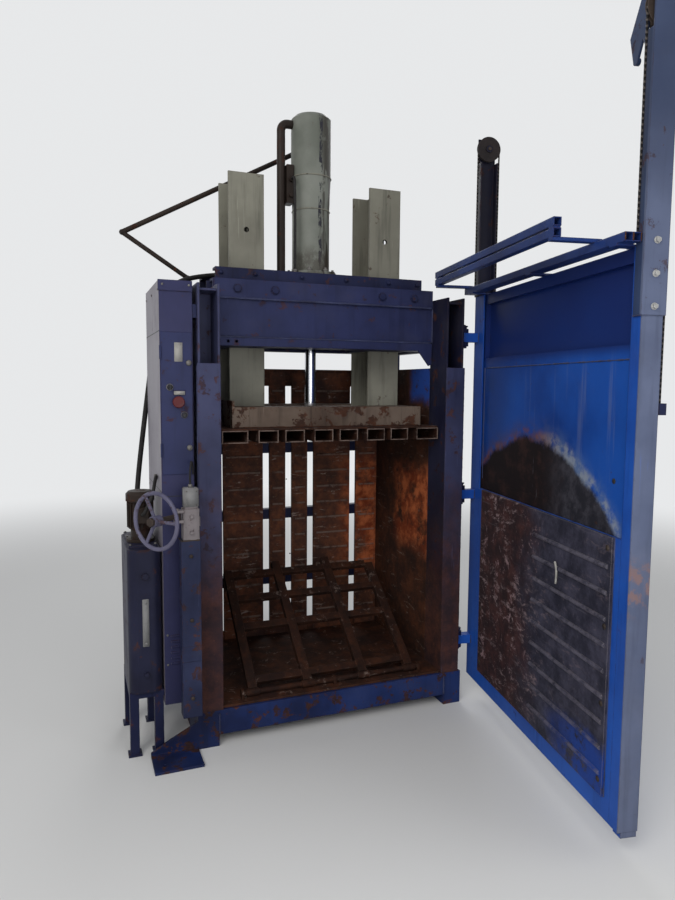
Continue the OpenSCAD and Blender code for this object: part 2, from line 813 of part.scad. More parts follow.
// A valve block between the pipe and the barrel
module valve_block() {
    x = -barrel_flange / 2 - 0.18 * supply_d + 0.2;
    w = 0.77 * supply_d;
    color([0.30, 0.30, 0.28]) {
        slab(x, -barrel_upper_d / 2 - 0.1, -w, w, taper_low + 0.18 * taper_h,
            taper_high + 0.32 * taper_h);
        for (k = [0.41, 0.88])
            translate([x + supply_d / 2, -w, taper_low + k * taper_h]) rotate([90, 0, 0])
                cylinder(d = 0.55 * supply_d, h = 0.36 * supply_d);
    }
}

// The bent return pipe from the cylinder's rear side down to the left side beam
module return_pipe() {
    low_x = -beam_x - side_beam_t / 2;
    b = [0, return_y, return_top];
    c = [-return_reach, return_y, return_bend_z];
    d = [low_x, return_y, crosshead_top - return_d / 5];
    color([0.20, 0.14, 0.10]) {
        bar_between([0, barrel_upper_d / 2, return_top], b, 1.25 * return_d);
        bar_between(b, c, return_d);
        bar_between(c, d, 0.92 * return_d);
        bar_between(d, [low_x, return_y, post_top], return_d);
        translate(b) sphere(d = 1.4 * return_d, $fn = 24);
        for (p = [c, d]) translate(p) sphere(d = 1.12 * return_d, $fn = 24);
        translate([low_x, return_y, post_top]) cylinder(d = 1.6 * return_d, h = 0.4 * return_d);
    }
}

// The piston, the rod and the rod's foot on the platen
module piston_rod() {
    z = platen_top;
    r = rod_d;
    color([0.75, 0.77, 0.80]) {
        translate([0, 0, piston_crown - piston_h])
            cylinder(d = bore_d - 2 * running_gap, h = piston_h, $fn = 72);
        translate([0, 0, z + 0.8 * r])
            cylinder(d = r, h = piston_crown - piston_h - z - 0.8 * r, $fn = 72);
        rotate_extrude() polygon([[0, z], [1.25 * r, z], [1.25 * r, z + 0.37 * r],
            [0.83 * r, z + 0.5 * r], [0.75 * r, z + 1.3 * r], [r / 2, z + 1.4 * r],
            [0, z + 1.4 * r]]);
        for (a = [45 : 90 : 315])
            rotate([0, 0, a]) translate([1.03 * r, 0, z + 0.37 * r])
                cylinder(d = 0.3 * r, h = 0.15 * r, $fn = 6);
    }
}

// One guide column: a section like a letter H with a pin hole in its front flange
module column() {
    w = column_w / 2;
    d = column_d / 2;
    difference() {
        translate([0, 0, platen_top]) linear_extrude(column_top - platen_top)
            polygon([[-w, -d], [w, -d], [w, -d + column_flange], [column_web / 2, -d + column_flange],
                [column_web / 2, d - column_flange], [w, d - column_flange], [w, d], [-w, d],
                [-w, d - column_flange], [-column_web / 2, d - column_flange],
                [-column_web / 2, -d + column_flange], [-w, -d + column_flange]]);
        translate([0, 1.5 * column_flange - d, pin_hole_z]) rotate([90, 0, 0])
            cylinder(d = pin_hole_d, h = 2 * column_flange);
    }
}

module columns() {
    color([0.62, 0.62, 0.54])
        for (s = [-1, 1]) translate([s * column_x, 0, 0]) column();
}

// The pressing tubes, with gaps for the straps between them
module platen_tubes() {
    color([0.33, 0.27, 0.22])
        for (m = [0, 1]) mirror([m, 0, 0]) {
            for (x = [narrow_gap / 2, strap_x + strap_gap / 2, 2 * strap_x + narrow_gap / 2])
                tube_y(x, x + tube_w, platen_front, platen_rear, platen_z, platen_z + tube_h,
                    tube_wall);
            tube_y(3 * strap_x + strap_gap / 2, platen_half, platen_front, platen_rear, platen_z,
                platen_z + tube_h, tube_wall);
        }
}

module platen_plate() {
    color([0.40, 0.34, 0.28])
        slab(-platen_half, platen_half, platen_front + 0.75 * platen_plate_t, platen_rear,
            platen_z + tube_h, platen_top);
}

// Cross beams in front of and behind the columns, with end plates, the left one raised
module platen_beams() {
    y0 = -column_d / 2 - 3 * guide_gap - beam_d;
    top = platen_top + beam_h;
    color([0.64, 0.63, 0.55]) {
        for (m = [0, 1]) mirror([0, m, 0])
            tube_x(-beam_half, beam_half, y0, y0 + beam_d, platen_top, top, box_t);
        slab(-beam_half - header_t, -beam_half, y0, -y0, platen_top, top + 0.3 * beam_h);
        slab(beam_half, beam_half + header_t, y0, -y0, platen_top, top);
    }
}

// Lugs and pins of the door's hinge on the right post
module hinge_lugs() {
    half = knuckle_h / 2 + 1.55 * lug_t;
    color([0.12, 0.14, 0.26]) for (z = hinge_zs) {
        for (dz = [-knuckle_h / 2 - 1 - lug_t, knuckle_h / 2 + 1]) {
            slab(post_out, hinge_x, hinge_y - lug_r, hinge_y + lug_r, z + dz, z + dz + lug_t);
            translate([hinge_x, hinge_y, z + dz]) cylinder(r = lug_r, h = lug_t);
        }
        translate([hinge_x, hinge_y, z - half]) cylinder(d = hinge_pin_d, h = 2 * half);
        translate([hinge_x, hinge_y, z + half])
            cylinder(d = hinge_pin_d * 4 / 3, h = hinge_pin_d / 5);
    }
}

// A door knuckle: an arm from the door's hinge post to the pin
module door_knuckle(z) {
    h = knuckle_h / 2;
    difference() {
        union() {
            door_slab(-lug_r, lug_r, face_v, 0, z - h, z + h);
            translate([0, 0, z - h]) cylinder(r = lug_r, h = knuckle_h);
        }
        translate([0, 0, z - h - 1]) cylinder(d = hinge_pin_d + 0.6, h = knuckle_h + 2);
    }
}

// Two posts with guide channels for the gate, joined by rails, with the hinge arms
module door_frame() {
    color([0.13, 0.24, 0.62]) on_door() {
        difference() {
            door_slab(-hinge_box, hinge_guide_u, back_v, face_v, door_low, door_top);
            door_slab(-hinge_box + door_t, hinge_box - door_t, back_v + door_t, face_v - door_t,
                door_low - 1, door_top + 1);
            door_slab(hinge_box + door_t, hinge_guide_u + 1, back_v + door_t, face_v - door_t,
                door_low - 1, door_top + 1);
        }
        difference() {
            door_slab(free_guide_u, door_l, back_v, face_v, door_low, door_top);
            door_slab(free_guide_u - 1, door_l - door_t, back_v + door_t, face_v - door_t,
                door_low - 1, door_top + 1);
        }
        for (z = [door_low, door_low + 0.31 * lower_door_h, door_low + 0.614 * lower_door_h,
            lower_door_top - door_rail])
            tube_x(-free_guide_u - door_t, -hinge_guide_u + door_t, back_v, face_v - door_t,
                z, z + door_rail, rail_t);
        for (u = [0.325 * door_l, 0.697 * door_l])
            door_slab(u, u + door_rail * 5 / 6, back_v, back_v + door_t * 4 / 3,
                door_low + door_rail, lower_door_top - door_rail);
        for (u = [[hinge_box + door_t, hinge_guide_u], [free_guide_u, door_l - door_t]])
            door_slab(u[0], u[1], back_v + door_t, face_v - door_t, lower_door_top - door_rail,
                lower_door_top);
        door_slab(free_guide_u + door_t * 4 / 3, door_l - door_t / 3, back_v + door_t / 2,
            back_v + 0.825 * door_post_d, door_low - 0.37 * door_rail, door_low);
        for (z = hinge_zs) door_knuckle(z);
    }
}

module door_skin() {
    color([0.13, 0.25, 0.66]) on_door()
        door_slab(hinge_guide_u, free_guide_u, face_v - door_t, face_v, door_low, lower_door_top);
}

// The wear plate on the door's inner side, pressed with beads on its free half
module wear_plate() {
    u0 = hinge_gap + wear_gap;
    u1 = hinge_gap + chamber_w - wear_gap;
    mid = (u0 + u1) / 2;
    color([0.30, 0.26, 0.25]) on_door() {
        door_slab(u0, u1, face_v, face_v + wear_t, wear_low, lower_door_top);
        for (z = [wear_low + 0.825 * bead_pitch : bead_pitch : lower_door_top - 0.41 * bead_pitch])
            translate([-u1 + 2 * wear_gap, face_v + wear_t, z]) rotate([0, 90, 0]) difference() {
                cylinder(r = bead_r, h = u1 - mid - 2 * wear_gap, $fn = 24);
                translate([-bead_r - 1, -bead_r - 1, -1])
                    cube([2 * bead_r + 2, bead_r + 1, u1 - mid]);
            }
    }
}

// The mast above the door's hinge post: a channel that is open towards the gate
module mast_hinge() {
    w = -hinge_box;
    side = w + mast_t + mast_flange;
    color([0.07, 0.10, 0.26]) on_door() {
        door_slab(w, w + mast_t, mast_back_v, mast_in_v, door_top, mast_top);
        door_slab(w, side, mast_in_v - mast_t, mast_in_v, door_top, flange_top);
        door_slab(w, side, mast_back_v, mast_back_v + mast_t, door_top, flange_top);
        door_slab(w, w + 0.4 * mast_flange, back_v + door_post_d / 10, face_v - door_post_d / 10,
            door_top, door_top + mast_flange / 4);
        sheave_axle(w + mast_t, sheave_us[0] + sheave_t / 2 + mast_t);
    }
}

// The mast on the door's free post: a channel that wraps the post, with the chain's stop
module mast_free() {
    k = sheave_r;
    w = door_l - mast_flange;
    color([0.14, 0.25, 0.62]) on_door() {
        door_slab(door_l, door_l + mast_t, mast_back_v, mast_in_v, mast_low, mast_top);
        door_slab(w, door_l, face_v, mast_in_v, mast_low, flange_top);
        door_slab(w, door_l, mast_back_v, back_v, mast_low, flange_top);
        sheave_axle(sheave_us[1] - sheave_t / 2 - mast_t, door_l);
        translate([-door_l, mast_in_v, sheave_z]) rotate([90, 0, 0]) {
            linear_extrude(mast_t * 4 / 3)
                polygon([[0.58 * k, 0.88 * k], [1.18 * k, 0.88 * k], [2.16 * k, -k],
                    [1.77 * k, -2.5 * k], [1.39 * k, -2.5 * k], [0.96 * k, -1.49 * k],
                    [0.58 * k, -2.2 * k]]);
            translate([1.56 * k, -2.5 * k, 0]) cylinder(r = 0.21 * k, h = mast_t * 7 / 3);
        }
    }
}

// The stub axle of a sheave with a collar at each side
module sheave_axle(u0, u1) {
    translate([-u1, sheave_v, sheave_z]) rotate([0, 90, 0]) cylinder(d = axle_d, h = u1 - u0);
    collar = u1 == door_l ? [-sheave_us[1] + sheave_t / 2 + 0.5, -u0] :
        [-u1, -sheave_us[0] - sheave_t / 2 - 0.5];
    translate([collar[0], sheave_v, sheave_z]) rotate([0, 90, 0])
        cylinder(d = 1.7 * axle_d, h = collar[1] - collar[0]);
}

module mast_bolts() {
    color([0.45, 0.48, 0.55]) on_door()
        for (k = [0.125, 0.586, 1.052])
            translate([-door_l - mast_t, (face_v + back_v) / 2, mast_low + k * mast_lap])
                rotate([0, -90, 0]) {
                    cylinder(d = 1.3 * mast_bolt, h = mast_t / 2);
                    cylinder(d = mast_bolt, h = 2 * mast_t, $fn = 6);
                }
}

// The gate's frame of tubes: two stiles and three rails
module gate_frame() {
    r = gate_rail;
    color([0.13, 0.24, 0.62]) on_door() {
        for (u = [gate_u0, gate_u1 - r])
            tube_z(-u - r, -u, gate_out_v, gate_in_v, gate_low, door_top, gate_wall);
        for (z = [gate_low, gate_mid, door_top - r])
            tube_x(-gate_u1 + r, -gate_u0 - r, gate_out_v, gate_in_v, z, z + r, gate_wall);
    }
}

// The gate's panels: the lower one flush with the frame, the upper one set back
module gate_panels() {
    u0 = gate_u0 + gate_rail;
    u1 = gate_u1 - gate_rail;
    color([0.12, 0.25, 0.68]) on_door() {
        door_slab(u0, u1, gate_in_v - door_t * 4 / 3, gate_in_v - door_t / 3,
            gate_low + gate_rail, gate_mid);
        door_slab(u0, u1, gate_in_v - 5 * door_t, gate_in_v - 4 * door_t,
            gate_mid + gate_rail, door_top - gate_rail);
    }
}

// Two pairs of square tubes on the gate, joined across the frame's header
module tube_frame() {
    a = square;
    z0 = pair_z + pair_rise;
    z1 = z0 + a * 37 / 30;
    color([0.12, 0.22, 0.60]) on_door() {
        for (v = [pair_v, pair_v + a])
            tube_x(-door_l + a / 6, a / 3, v, v + a, pair_z, pair_z + a, a / 10);
        for (z = [z0, z1])
            tube_x(-outer_pair_l, a / 2, outer_pair_v, outer_pair_v + a, z, z + a, a / 10);
        for (u = [0, outer_pair_l - a * 7 / 6]) {
            door_slab(u, u + a, pair_v + a, outer_pair_v + a, pair_z + a, z0);
            door_slab(u, u + a, outer_pair_v, outer_pair_v + a, z0 + a, z1);
        }
        for (u = [2 * a, 0.491 * door_l, door_l - a * 19 / 6])
            door_slab(u, u + 1.5 * a, gate_out_v + gate_t / 3, pair_v + 2 * a, door_top, pair_z);
    }
}

// A grooved sheave that turns on its stub axle
module sheave(u) {
    h = sheave_t / 2;
    rim = sheave_r + rope_d * 5 / 8;
    groove = sheave_r - rope_d * 9 / 16;
    color([0.20, 0.19, 0.18]) on_door()
        translate([-u, sheave_v, sheave_z]) rotate([0, 90, 0]) rotate_extrude($fn = 60)
            polygon([[axle_d / 2 + 0.3, -h], [rim, -h], [rim, -0.79 * h], [groove, -0.64 * h],
                [groove, 0.64 * h], [rim, 0.79 * h], [rim, h], [axle_d / 2 + 0.3, h]]);
}

module sheave_hinge() {
    sheave(sheave_us[0]);
}

module sheave_free() {
    sheave(sheave_us[1]);
}

// The chains from the tubes up to the sheaves
module lift_chains() {
    color([0.12, 0.11, 0.10]) on_door()
        for (u = sheave_us)
            translate([-u, chain_v, pair_z + square])
                cylinder(d = rope_d, h = sheave_z - pair_z - square, $fn = 16);
}

// The chains from the sheaves down to the counterweight
module return_chains() {
    color([0.12, 0.11, 0.10]) on_door()
        for (u = sheave_us)
            translate([-u, chain_back_v, weight_top])
                cylinder(d = rope_d, h = sheave_z - weight_top, $fn = 16);
}

// The counterweight plate on the door's outer side, with an ear under each chain
module counterweight() {
    ear = 1.25 * rope_d;
    color([0.16, 0.18, 0.28]) on_door() {
        door_slab(hinge_box, weight_end, weight_v - weight_t, weight_v, weight_top - weight_h,
            weight_top);
        for (u = [[sheave_us[0] - ear, hinge_box], [weight_end, sheave_us[1] + ear]])
            door_slab(u[0], u[1], weight_v - weight_t, weight_v, weight_top - weight_h * 2 / 15,
                weight_top);
    }
}

// The rod that the tray turns on, with its ears on the floor
module tray_rod() {
    half = tray_w / 2 + bar_w * 4 / 3;
    color([0.24, 0.18, 0.14]) {
        translate([-half, tray_y, tray_z]) rotate([0, 90, 0]) cylinder(d = tray_rod_d, h = 2 * half);
        for (x = [-half, -ear_t / 2, half - ear_t]) {
            slab(x, x + ear_t, tray_y - ear_r, tray_y + ear_r, floor_z, tray_z);
            translate([x, tray_y, tray_z]) rotate([0, 90, 0]) cylinder(r = ear_r, h = ear_t);
        }
    }
}

// The ejector tray: long bars on sleeves, tied by cross bars
module ejector_tray() {
    xs = [-0.5 * tray_w, -0.165 * tray_w, 0.19 * tray_w, 0.5 * tray_w];
    ends = [tray_l, tray_l + tray_tip, tray_l + tray_tip, tray_l - bar_w * 2 / 3];
    sleeve = 0.71 * bar_w;
    wall = bar_h / 9;
    color([0.30, 0.22, 0.17])
        translate([0, tray_y, tray_z]) rotate([tray_angle, 0, 0]) difference() {
            union() {
                for (k = [0 : 3]) {
                    tube_y(xs[k] - bar_w / 2, xs[k] + bar_w / 2, 0.54 * tray_rod_d, ends[k],
                        -bar_h / 2, bar_h / 2, wall);
                    translate([xs[k] - sleeve, 0, 0]) rotate([0, 90, 0])
                        cylinder(r = 0.73 * tray_rod_d, h = 2 * sleeve);
                }
                for (t = [bar_w * 8 / 9, 0.475 * tray_l, 0.72 * tray_l, tray_l - bar_w])
                    for (k = [0 : 2])
                        slab(xs[k] + bar_w / 2, xs[k + 1] - bar_w / 2, t, t + 0.82 * bar_w,
                            -bar_h / 2 + wall, bar_h / 2 - wall);
            }
            translate([-tray_w, 0, 0]) rotate([0, 90, 0])
                cylinder(d = tray_rod_d + 0.6, h = 2 * tray_w);
        }
}

// The cabinet's case with its front opening
module cabinet_body() {
    t = sheet_t;
    louvre = cabinet_low + 1.31 * cabinet_w;
    color([0.62, 0.63, 0.72]) {
        difference() {
            slab(cabinet_x, cabinet_in, cabinet_y, cabinet_y + cabinet_d, cabinet_low, cabinet_top);
            slab(cabinet_x + t, cabinet_in - t, cabinet_y + t, cabinet_y + cabinet_d - t,
                cabinet_low + t, cabinet_top - t);
            slab(cabinet_x + 5 * t, cabinet_in - 5 * t, cabinet_y - 1, cabinet_y + t + 1,
                panel_low + 4 * t, panel_high - 4 * t);
        }
        slab(cabinet_x - t * 4 / 3, cabinet_in, cabinet_y - 2 * t, cabinet_y,
            cabinet_top - 0.324 * cabinet_w, cabinet_top);
        for (k = [0 : 5])
            translate([0, cabinet_y, louvre + k * 0.18 * cabinet_w])
                slab(cabinet_x + 10 * t, cabinet_in - 10 * t, -t * 5 / 3, 0, 0, t * 8 / 3);
    }
}

module cabinet_brackets() {
    y0 = channel_y + 2 * post_t;
    y1 = post_back - post_t;
    color([0.10, 0.15, 0.35])
        for (z = [cabinet_low + 0.83 * cabinet_w, cabinet_top - 1.1 * cabinet_w]) {
            slab(cabinet_in, -post_out, y0, y1, z, z + 4 * post_t);
            slab(cabinet_in, -post_out, y0, y1, z + 4.8 * post_t, z + 6 * post_t);
            slab(cabinet_in, -post_out, y0, y0 + 1.2 * post_t, z + 4 * post_t, z + 4.8 * post_t);
        }
}

// The cabinet's door with the holes and collars of the controls
module cabinet_door() {
    t = sheet_t;
    color([0.14, 0.26, 0.62]) {
        difference() {
            union() {
                slab(cabinet_x + t * 4 / 3, cabinet_in - t * 4 / 3, panel_y - t, panel_y,
                    panel_low, panel_high);
                control_collar(stop_x, stop_z, stem_d * 16 / 7);
                control_collar(button_x, button_z, stem_d * 13 / 7);
                control_collar(selector_x, selector_z, stem_d * 13 / 7);
                slab(cabinet_x + 0.4 * cabinet_w, cabinet_x + 0.745 * cabinet_w, panel_y - 2 * t,
                    panel_y - t, stop_z + 10 * t, stop_z + 17 * t);
            }
            control_hole(stop_x, stop_z);
            control_hole(button_x, button_z);
            control_hole(selector_x, selector_z);
        }
        for (z = [panel_low + 27 * t, panel_high - 40 * t])
            translate([cabinet_x + t * 2 / 3, panel_y - t * 7 / 3, z])
                cylinder(d = t * 10 / 3, h = 20 * t);
    }
}

// A collar round a control, at a place across and up the cabinet's door
module control_collar(x, z, d) {
    translate([cabinet_x + x, panel_y - sheet_t, z]) rotate([90, 0, 0])
        cylinder(d = d, h = 2 * sheet_t);
}

module control_hole(x, z) {
    translate([cabinet_x + x, cabinet_y + 3 * sheet_t, z]) rotate([90, 0, 0])
        cylinder(d = stem_d + 0.4, h = 12 * sheet_t);
}

// The turned body of a control: a stem behind a wider head
module control(x, z, d, gap, h) {
    reach = 5 * sheet_t + 0.3 + gap;
    edge = stem_d / 4;
    translate([cabinet_x + x, cabinet_y + 2 * sheet_t, z]) rotate([90, 0, 0]) rotate_extrude()
        polygon([[0, 0], [stem_d / 2, 0], [stem_d / 2, reach], [d / 2, reach],
            [d / 2, reach + h - edge], [d / 2 - edge, reach + h], [0, reach + h]]);
}

module e_stop() {
    color([0.45, 0.08, 0.08]) control(stop_x, stop_z, stem_d * 26 / 7, 6, stem_d * 8 / 7);
}

module push_button() {
    color([0.12, 0.12, 0.13]) control(button_x, button_z, stem_d * 11 / 7, 5, stem_d * 4 / 7);
}

module selector() {
    x = cabinet_x + selector_x;
    y = cabinet_y - sheet_t;
    color([0.10, 0.10, 0.11]) {
        control(selector_x, selector_z, stem_d * 12 / 7, 0.3, stem_d * 4 / 7);
        slab(x - stem_d * 2 / 7, x + stem_d * 2 / 7, y - 8 * sheet_t, y - 4.5 * sheet_t,
            selector_z - stem_d * 6 / 7, selector_z + stem_d * 6 / 7);
    }
}

// The oil tank with rounded corners, its lid and its filler cap
module tank() {
    x1 = tank_x + tank_w;
    y1 = cabinet_y + tank_d;
    lid = tank_w / 15;
    edge = 0.08 * tank_w;
    color([0.12, 0.22, 0.52]) {
        slab(tank_x + tank_r, x1 - tank_r, cabinet_y, y1, tank_low, tank_high);
        slab(tank_x, x1, cabinet_y + tank_r, y1 - tank_r, tank_low, tank_high);
        for (x = [tank_x + tank_r, x1 - tank_r])
            for (y = [cabinet_y + tank_r, y1 - tank_r])
                translate([x, y, tank_low]) cylinder(r = tank_r, h = tank_high - tank_low);
        slab(tank_x + edge, x1 - edge, cabinet_y + 0.15 * tank_d, y1 - 0.05 * tank_d,
            tank_high, tank_high + lid);
        translate([tank_x + tank_w / 2, y1 - 0.175 * tank_d, tank_high + lid])
            cylinder(d = tank_w / 3, h = tank_w / 5);
        translate([tank_x + tank_w / 2, cabinet_y, tank_high - 0.8 * tank_w]) rotate([90, 0, 0])
            cylinder(d = tank_w / 5, h = 0.093 * tank_w);
        translate([tank_x + tank_w / 2, cabinet_y, tank_low + 0.6 * tank_w]) rotate([90, 0, 0])
            cylinder(d = 0.16 * tank_w, h = 0.107 * tank_w, $fn = 6);
    }
}

// Legs and rails under the tank
module tank_stand() {
    a = tank_leg;
    x1 = tank_x + tank_w;
    y0 = cabinet_y + a / 2;
    y1 = cabinet_y + tank_d - 1.5 * a;
    low = tank_low - 0.75 * a;
    color([0.10, 0.14, 0.30]) {
        for (x = [tank_x, x1 - a])
            for (y = [y0, y1]) {
                slab(x, x + a, y, y + a, a / 5, low);
                slab(x - a / 4, x + 1.25 * a, y - a / 4, y + 1.25 * a, 0, a / 5);
            }
        for (y = [y0, y1]) slab(tank_x, cabinet_x, y, y + a, low, tank_low);
        slab(tank_x, tank_x + a, y0 + a, y1, low, tank_low);
        slab(x1 - a, x1, y0 + a, y1, low, tank_low);
    }
}

// The pump's motor, standing on the tank's lid, with cooling fins and a fan cover
module motor() {
    m = motor_d;
    color([0.22, 0.26, 0.36])
        translate([tank_x + tank_w / 2, cabinet_y + 0.4125 * tank_d, tank_high + tank_w / 15]) {
            cylinder(d = m, h = 0.11 * m);
            translate([0, 0, 0.11 * m]) cylinder(d = 0.69 * m, h = 0.35 * m);
            translate([0, 0, 0.46 * m]) cylinder(d = 0.8 * m, h = m);
            for (a = [0 : 20 : 340])
                rotate([0, 0, a]) translate([0.39 * m, -0.012 * m, 0.51 * m])
                    cube([0.077 * m, 0.024 * m, 0.91 * m]);
            translate([0, 0, 1.46 * m]) rotate_extrude()
                polygon([[0, 0], [m / 2, 0], [m / 2, 0.26 * m], [0.41 * m, 0.354 * m],
                    [0, 0.354 * m]]);
            translate([-0.23 * m, -0.67 * m, 0.73 * m]) cube([0.46 * m, 0.31 * m, 0.54 * m]);
        }
}

// Lugs and pins for the lock bar, on the left post
module lock_lugs() {
    p = lock_pin_d;
    y = channel_y + p * 11 / 14;
    lug = p * 9 / 7;
    jamb_x = -half_w - jamb_w;
    color([0.12, 0.20, 0.46])
        for (z = lock_zs) {
            for (dz = [-p * 23 / 14 - lug, p * 23 / 14])
                translate([0, 0, z + dz]) {
                    slab(lock_pivot_x - p * 15 / 14, jamb_x, lock_pivot_y - p * 8 / 7, y, 0, lug);
                    slab(jamb_x, -post_out, channel_y, y, 0, lug);
                }
            translate([lock_pivot_x, lock_pivot_y, z - p * 24 / 7]) cylinder(d = p, h = p * 48 / 7);
        }
}

// A knuckle of the lock bar at a height
module lock_knuckle(z) {
    p = lock_pin_d;
    h = 1.5 * p;
    difference() {
        union() {
            slab(lock_pivot_x - p * 15 / 14, lock_pivot_x + p * 13 / 14, lock_back, lock_pivot_y,
                z - h, z + h);
            translate([lock_pivot_x, lock_pivot_y, z - h]) cylinder(r = p * 13 / 14, h = 2 * h);
        }
        translate([lock_pivot_x, lock_pivot_y, z - h - 1]) cylinder(d = p + 0.6, h = 2 * h + 2);
    }
}

module lock_bar() {
    pad = lock_d * 3 / 65;
    color([0.30, 0.42, 0.72]) {
        tube_z(lock_in - lock_w, lock_in, lock_back - lock_d, lock_back, lock_low, lock_high,
            rail_t);
        for (k = [0, 1]) lock_knuckle(lock_zs[k]);
        slab(lock_in - lock_w - pad, lock_in, lock_back - lock_d - pad, lock_back - lock_d,
            lock_low + 0.321 * lock_span, lock_low + 0.407 * lock_span);
    }
}

// The head on the lock bar: a bracket with ears for the spindle and the switch box
module lock_head() {
    a = spindle_d;
    y0 = lock_back - lock_d;
    plate_h = 1.65 * lock_w;
    color([0.62, 0.60, 0.50]) {
        slab(head_x, lock_in - a / 6, y0, lock_back, lock_high, lock_high + plate_h);
        lock_knuckle(lock_zs[2]);
        for (z = [wheel_z - a * 7 / 6, wheel_z + a * 2 / 3])
            slab(eye_x - a * 5 / 8, head_x, eye_y - a * 2 / 3, eye_y + a * 2 / 3, z, z + a / 2);
        translate([eye_x, eye_y, wheel_z - a * 17 / 12]) cylinder(d = a / 2, h = a * 17 / 6);
        slab(head_x + a / 3, lock_in - a / 3, y0 + a / 3, lock_back - a / 6,
            lock_high + plate_h, lock_high + 2.7 * lock_w);
        for (z = [0.25 * plate_h, 0.75 * plate_h])
            translate([head_x + 1.5 * a, y0, lock_high + z]) hex_head(0.7 * a, a / 3);
    }
}

// Children point along +X from the eye through the wheel's hub
module on_spindle() {
    translate([eye_x, eye_y, wheel_z]) rotate([0, 0, wheel_dir + 180]) children();
}

module spindle() {
    a = spindle_d;
    r = a * 7 / 12;
    color([0.35, 0.33, 0.30]) on_spindle() difference() {
        union() {
            translate([0, 0, -r]) cylinder(r = r, h = 2 * r);
            rotate([0, 90, 0]) cylinder(d = a, h = wheel_reach + hub_l + a / 8);
            translate([wheel_reach - a * 3 / 8, 0, 0]) rotate([0, 90, 0])
                cylinder(d = a * 19 / 12, h = a / 3);
            translate([wheel_reach + hub_l + a / 16, 0, 0]) rotate([0, 90, 0])
                cylinder(d = a * 19 / 12, h = r, $fn = 6);
        }
        translate([0, 0, -r - 1]) cylinder(d = a / 2 + 0.6, h = 2 * r + 2);
    }
}

// The handwheel: a rim, three spokes and a hub, free to turn on the spindle
module handwheel() {
    a = spindle_d;
    color([0.42, 0.42, 0.42]) on_spindle() translate([wheel_reach, 0, 0]) rotate([0, 90, 0]) {
        difference() {
            union() {
                cylinder(d = 2 * a, h = hub_l);
                for (k = [90 : 120 : 330])
                    rotate([0, 0, k]) translate([0.75 * a, 0, hub_l / 2]) rotate([0, 90, 0])
                        cylinder(d = a * 5 / 8, h = wheel_r - rim_r - a * 5 / 6, $fn = 24);
            }
            translate([0, 0, -1]) cylinder(d = a + 0.6, h = hub_l + 2);
        }
        translate([0, 0, hub_l / 2]) rotate_extrude($fn = 72) translate([wheel_r - rim_r, 0])
            circle(r = rim_r, $fn = 24);
    }
}

base_frame();
floor_plate();
post_left();
post_right();
jamb_plates();
wall_left();
wall_right();
rear_wall();
rear_liner();
rear_frame();
side_beams();
header_beam();
header_bolts();
crosshead();
column_guides();
cylinder_mount();
barrel();
gland();
supply_pipe();
valve_block();
return_pipe();
piston_rod();
columns();
platen_tubes();
platen_plate();
platen_beams();
hinge_lugs();
door_frame();
door_skin();
wear_plate();
mast_hinge();
mast_free();
mast_bolts();
gate_frame();
gate_panels();
tube_frame();
sheave_hinge();
sheave_free();
lift_chains();
return_chains();
counterweight();
ejector_tray();
tray_rod();
cabinet_body();
cabinet_brackets();
cabinet_door();
e_stop();
push_button();
selector();
tank();
tank_stand();
motor();
lock_lugs();
lock_bar();
lock_head();
spindle();
handwheel();
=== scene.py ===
import math
import random

import bmesh
import bpy
from mathutils import Matrix, Vector


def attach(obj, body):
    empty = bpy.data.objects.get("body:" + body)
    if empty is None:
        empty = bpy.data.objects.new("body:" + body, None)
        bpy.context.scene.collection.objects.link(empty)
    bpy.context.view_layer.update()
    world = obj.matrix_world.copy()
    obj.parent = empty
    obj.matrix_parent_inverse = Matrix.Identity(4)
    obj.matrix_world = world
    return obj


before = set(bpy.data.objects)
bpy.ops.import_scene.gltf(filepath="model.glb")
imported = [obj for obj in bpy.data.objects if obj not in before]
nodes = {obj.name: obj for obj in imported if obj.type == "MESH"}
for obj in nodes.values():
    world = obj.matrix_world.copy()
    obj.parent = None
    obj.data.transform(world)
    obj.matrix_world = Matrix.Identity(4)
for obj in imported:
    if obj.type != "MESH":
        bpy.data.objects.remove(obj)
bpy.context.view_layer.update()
rnd = random.Random(7)

# ---------------------------------------------------------------- camera
YAW, PITCH, ROLL = math.radians(21.4), math.radians(5.3), math.radians(0.4)
EYE = (-1.227, -3.545, 1.70)
PHOTO_W, FOCAL = 675, 685  # pixels of the photo
SENSOR_W = 36
fwd = Vector((math.sin(YAW) * math.cos(PITCH), math.cos(YAW) * math.cos(PITCH), -math.sin(PITCH)))
right = Vector((math.cos(YAW), -math.sin(YAW), 0))
up = right.cross(fwd)
cx = right * math.cos(ROLL) + up * math.sin(ROLL)
cy = -right * math.sin(ROLL) + up * math.cos(ROLL)
cam_data = bpy.data.cameras.new("camera")
cam_data.sensor_fit = "HORIZONTAL"
cam_data.sensor_width = SENSOR_W
cam_data.lens = SENSOR_W * FOCAL / PHOTO_W
cam_data.clip_end = 60
cam_data.dof.use_dof = False
cam = bpy.data.objects.new("camera", cam_data)
cam.matrix_world = Matrix.Translation(EYE) @ Matrix((cx, cy, -fwd)).transposed().to_4x4()
bpy.context.scene.collection.objects.link(cam)
bpy.context.scene.camera = cam

